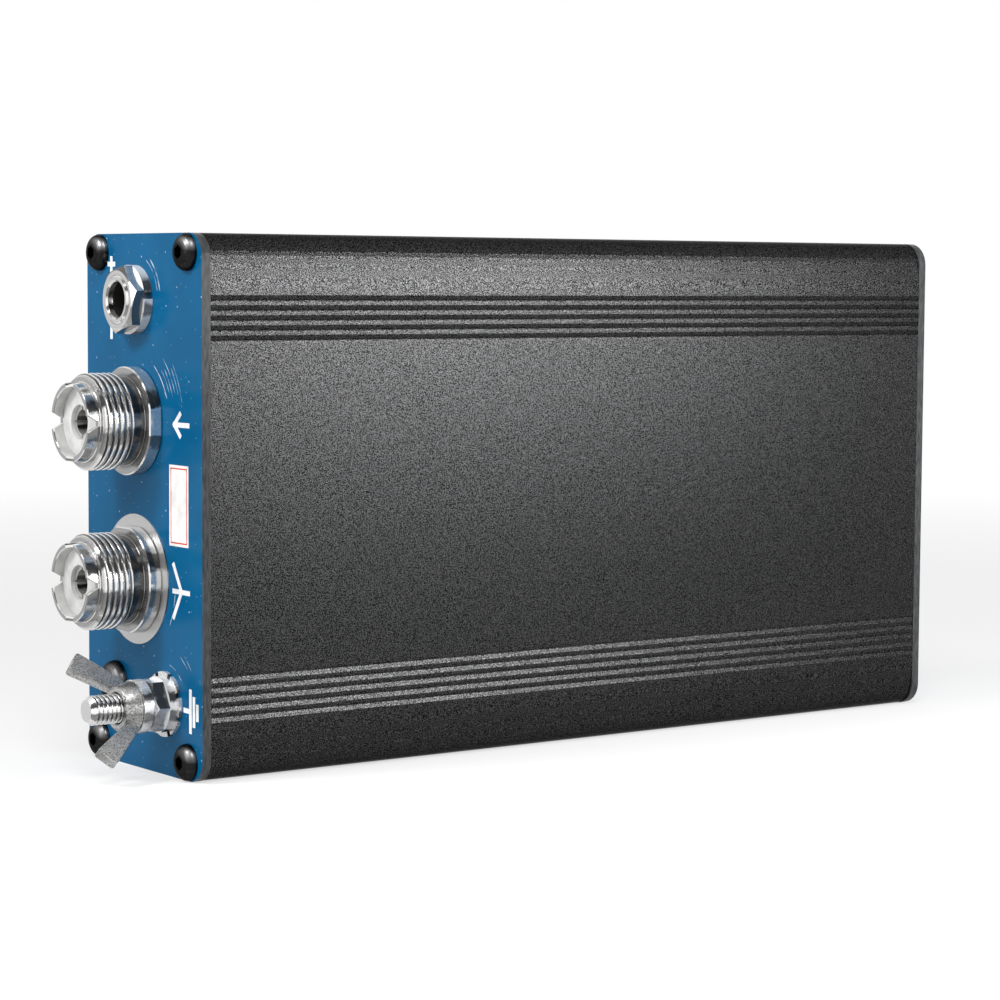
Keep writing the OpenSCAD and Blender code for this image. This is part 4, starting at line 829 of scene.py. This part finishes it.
def make_marks(looks):
    for name, strokes in MARKS.items():
        print_mark(name, strokes, MARK_W, REAR, looks)
    for name, (z, strokes) in CONTROL_MARKS.items():
        moved = [[(CONTROL_Y + y, z + up) for y, up in ends] for ends in strokes]
        print_mark(name, moved, CONTROL_MARK_W, FRONT, looks)


# Sticker on the connector panel: its span along Y and along Z, and its red border
STICKER_Y = (-14.7, -8.6)
STICKER_Z = (37.7, 50.8)
PAPER_T = 0.05
BORDER_INSET = 0.55
BORDER_W = 0.22
BORDER_T = 0.012


def sticker_corners(inset):
    low_y, high_y = STICKER_Y[0] + inset, STICKER_Y[1] - inset
    low_z, high_z = STICKER_Z[0] + inset, STICKER_Z[1] - inset
    return [(low_y, low_z), (high_y, low_z), (high_y, high_z), (low_y, high_z)]


# Blank paper inspection sticker with a plain red border
def make_sticker(looks):
    paper = bmesh.new()
    plate(paper, sticker_corners(0), 0, PAPER_T, REAR)
    mesh = finish_mesh("sticker", paper)
    add_mesh("sticker", mesh, looks["paper_white"], "case", smooth=30)
    border = bmesh.new()
    corners = sticker_corners(BORDER_INSET)
    for a, b in zip(corners, corners[1:] + corners[:1]):
        stroke(border, a, b, BORDER_W, PAPER_T, BORDER_T, REAR)
    mesh = finish_mesh("sticker_border", border)
    add_mesh("sticker_border", mesh, looks["paper_red"], "case", smooth=30)


# One for rays that see the background: from the camera, in a reflection or through glass
def background_rays(tree):
    path = tree.nodes.new("ShaderNodeLightPath")
    most = path.outputs["Is Camera Ray"]
    for name in ("Is Glossy Ray", "Is Transmission Ray"):
        larger = tree.nodes.new("ShaderNodeMath")
        larger.operation = "MAXIMUM"
        tree.links.new(most, larger.inputs[0])
        tree.links.new(path.outputs[name], larger.inputs[1])
        most = larger.outputs["Value"]
    return most


# Floor in metres: half its width, and the span from its middle over which it turns white
FLOOR_HALF = 6.0
FLOOR_FADE = (0.12, 0.6)
FLOOR_WHITE = (0.55, 1.0)


# Pale floor that shows the shadow near the object and runs out to white
def make_floor():
    mesh = bpy.data.meshes.new("floor")
    signs = ((-1, -1), (1, -1), (1, 1), (-1, 1))
    mesh.from_pydata([(x * FLOOR_HALF, y * FLOOR_HALF, 0) for x, y in signs], [], [(0, 1, 2, 3)])
    look = Look("floor_pale", (0.86, 0.86, 0.86), 0.8, specular=0.0)
    look.colour(look.ramp(look.noise(3, 2.0), [(0.3, 0.85), (0.7, 0.87)]))
    away = look.node("ShaderNodeVectorMath", operation="LENGTH")
    look.feed(look.coords.outputs["Object"], away.inputs[0])
    far = look.span(away.outputs["Value"], *FLOOR_FADE, *FLOOR_WHITE)
    white = look.node("ShaderNodeEmission")
    mix = look.node("ShaderNodeMixShader")
    look.feed(look.maths("MULTIPLY", far, background_rays(look.tree)), mix.inputs["Fac"])
    look.feed(look.shader.outputs["BSDF"], mix.inputs[1])
    look.feed(white.outputs["Emission"], mix.inputs[2])
    look.feed(mix.outputs["Shader"], look.tree.nodes["Material Output"].inputs["Surface"])
    mesh.materials.append(look.material)
    floor = bpy.data.objects.new("floor", mesh)
    bpy.context.collection.objects.link(floor)


# Lamps: place, target, width and height in metres, and watts; and how much light the white world sheds
LAMPS = {
    "key": ((-0.3, -0.4, 0.62), (-0.06, 0, 0.05), (0.25, 0.25), 2.0),
    "side": ((-0.9, 0.05, 0.35), (-0.08, 0, 0.04), (0.5, 0.6), 2.0),
    "spark": ((-0.27, 0.01, 0.245), (-0.08, -0.01, 0.07), (0.06, 0.06), 0.45),
    "sweep": ((0.09, -0.217, 0.1), (-0.025, -0.02, 0.1), (0.15, 0.08), 0.63),
    "fill": ((0.26, -0.217, 0.09), (0.06, -0.02, 0.05), (0.2, 0.16), 0.07),
}
WORLD_LIGHT = 0.4


def make_lamp(name, place, target, size, watts):
    data = bpy.data.lights.new(name, "AREA")
    data.shape = "RECTANGLE"
    data.size, data.size_y = size
    data.energy = watts
    lamp = bpy.data.objects.new(name, data)
    lamp.location = place
    lamp.rotation_mode = "QUATERNION"
    lamp.rotation_quaternion = (Vector(target) - Vector(place)).to_track_quat("-Z", "Y")
    lamp.visible_camera = False
    bpy.context.collection.objects.link(lamp)


# White world that lights the object softly, and shows at full white behind it and in reflections
def make_world():
    world = bpy.data.worlds.new("studio")
    bpy.context.scene.world = world
    world.use_nodes = True
    tree = world.node_tree
    tree.nodes.clear()
    mix = tree.nodes.new("ShaderNodeMixShader")
    tree.links.new(background_rays(tree), mix.inputs["Fac"])
    for socket, level in ((1, WORLD_LIGHT), (2, 1.0)):
        shade = tree.nodes.new("ShaderNodeBackground")
        shade.inputs["Color"].default_value = (1, 1, 1, 1)
        shade.inputs["Strength"].default_value = level
        tree.links.new(shade.outputs["Background"], mix.inputs[socket])
    out = tree.nodes.new("ShaderNodeOutputWorld")
    tree.links.new(mix.outputs["Shader"], out.inputs["Surface"])


def make_studio():
    make_floor()
    for name, settings in LAMPS.items():
        make_lamp(name, *settings)
    make_world()


make_camera()
looks = make_materials()
dress(looks)
soften_edges()
make_socket("input_socket_shell", INPUT_Z, 0.0, FLATS_SIDEWAYS, looks)
make_socket("antenna_socket_shell", ANTENNA_Z, PAD_T, FLATS_UPRIGHT, looks)
make_post(looks)
make_wing_nut(looks)
make_marks(looks)
make_sticker(looks)
make_studio()
bpy.context.scene.view_settings.view_transform = "Standard"
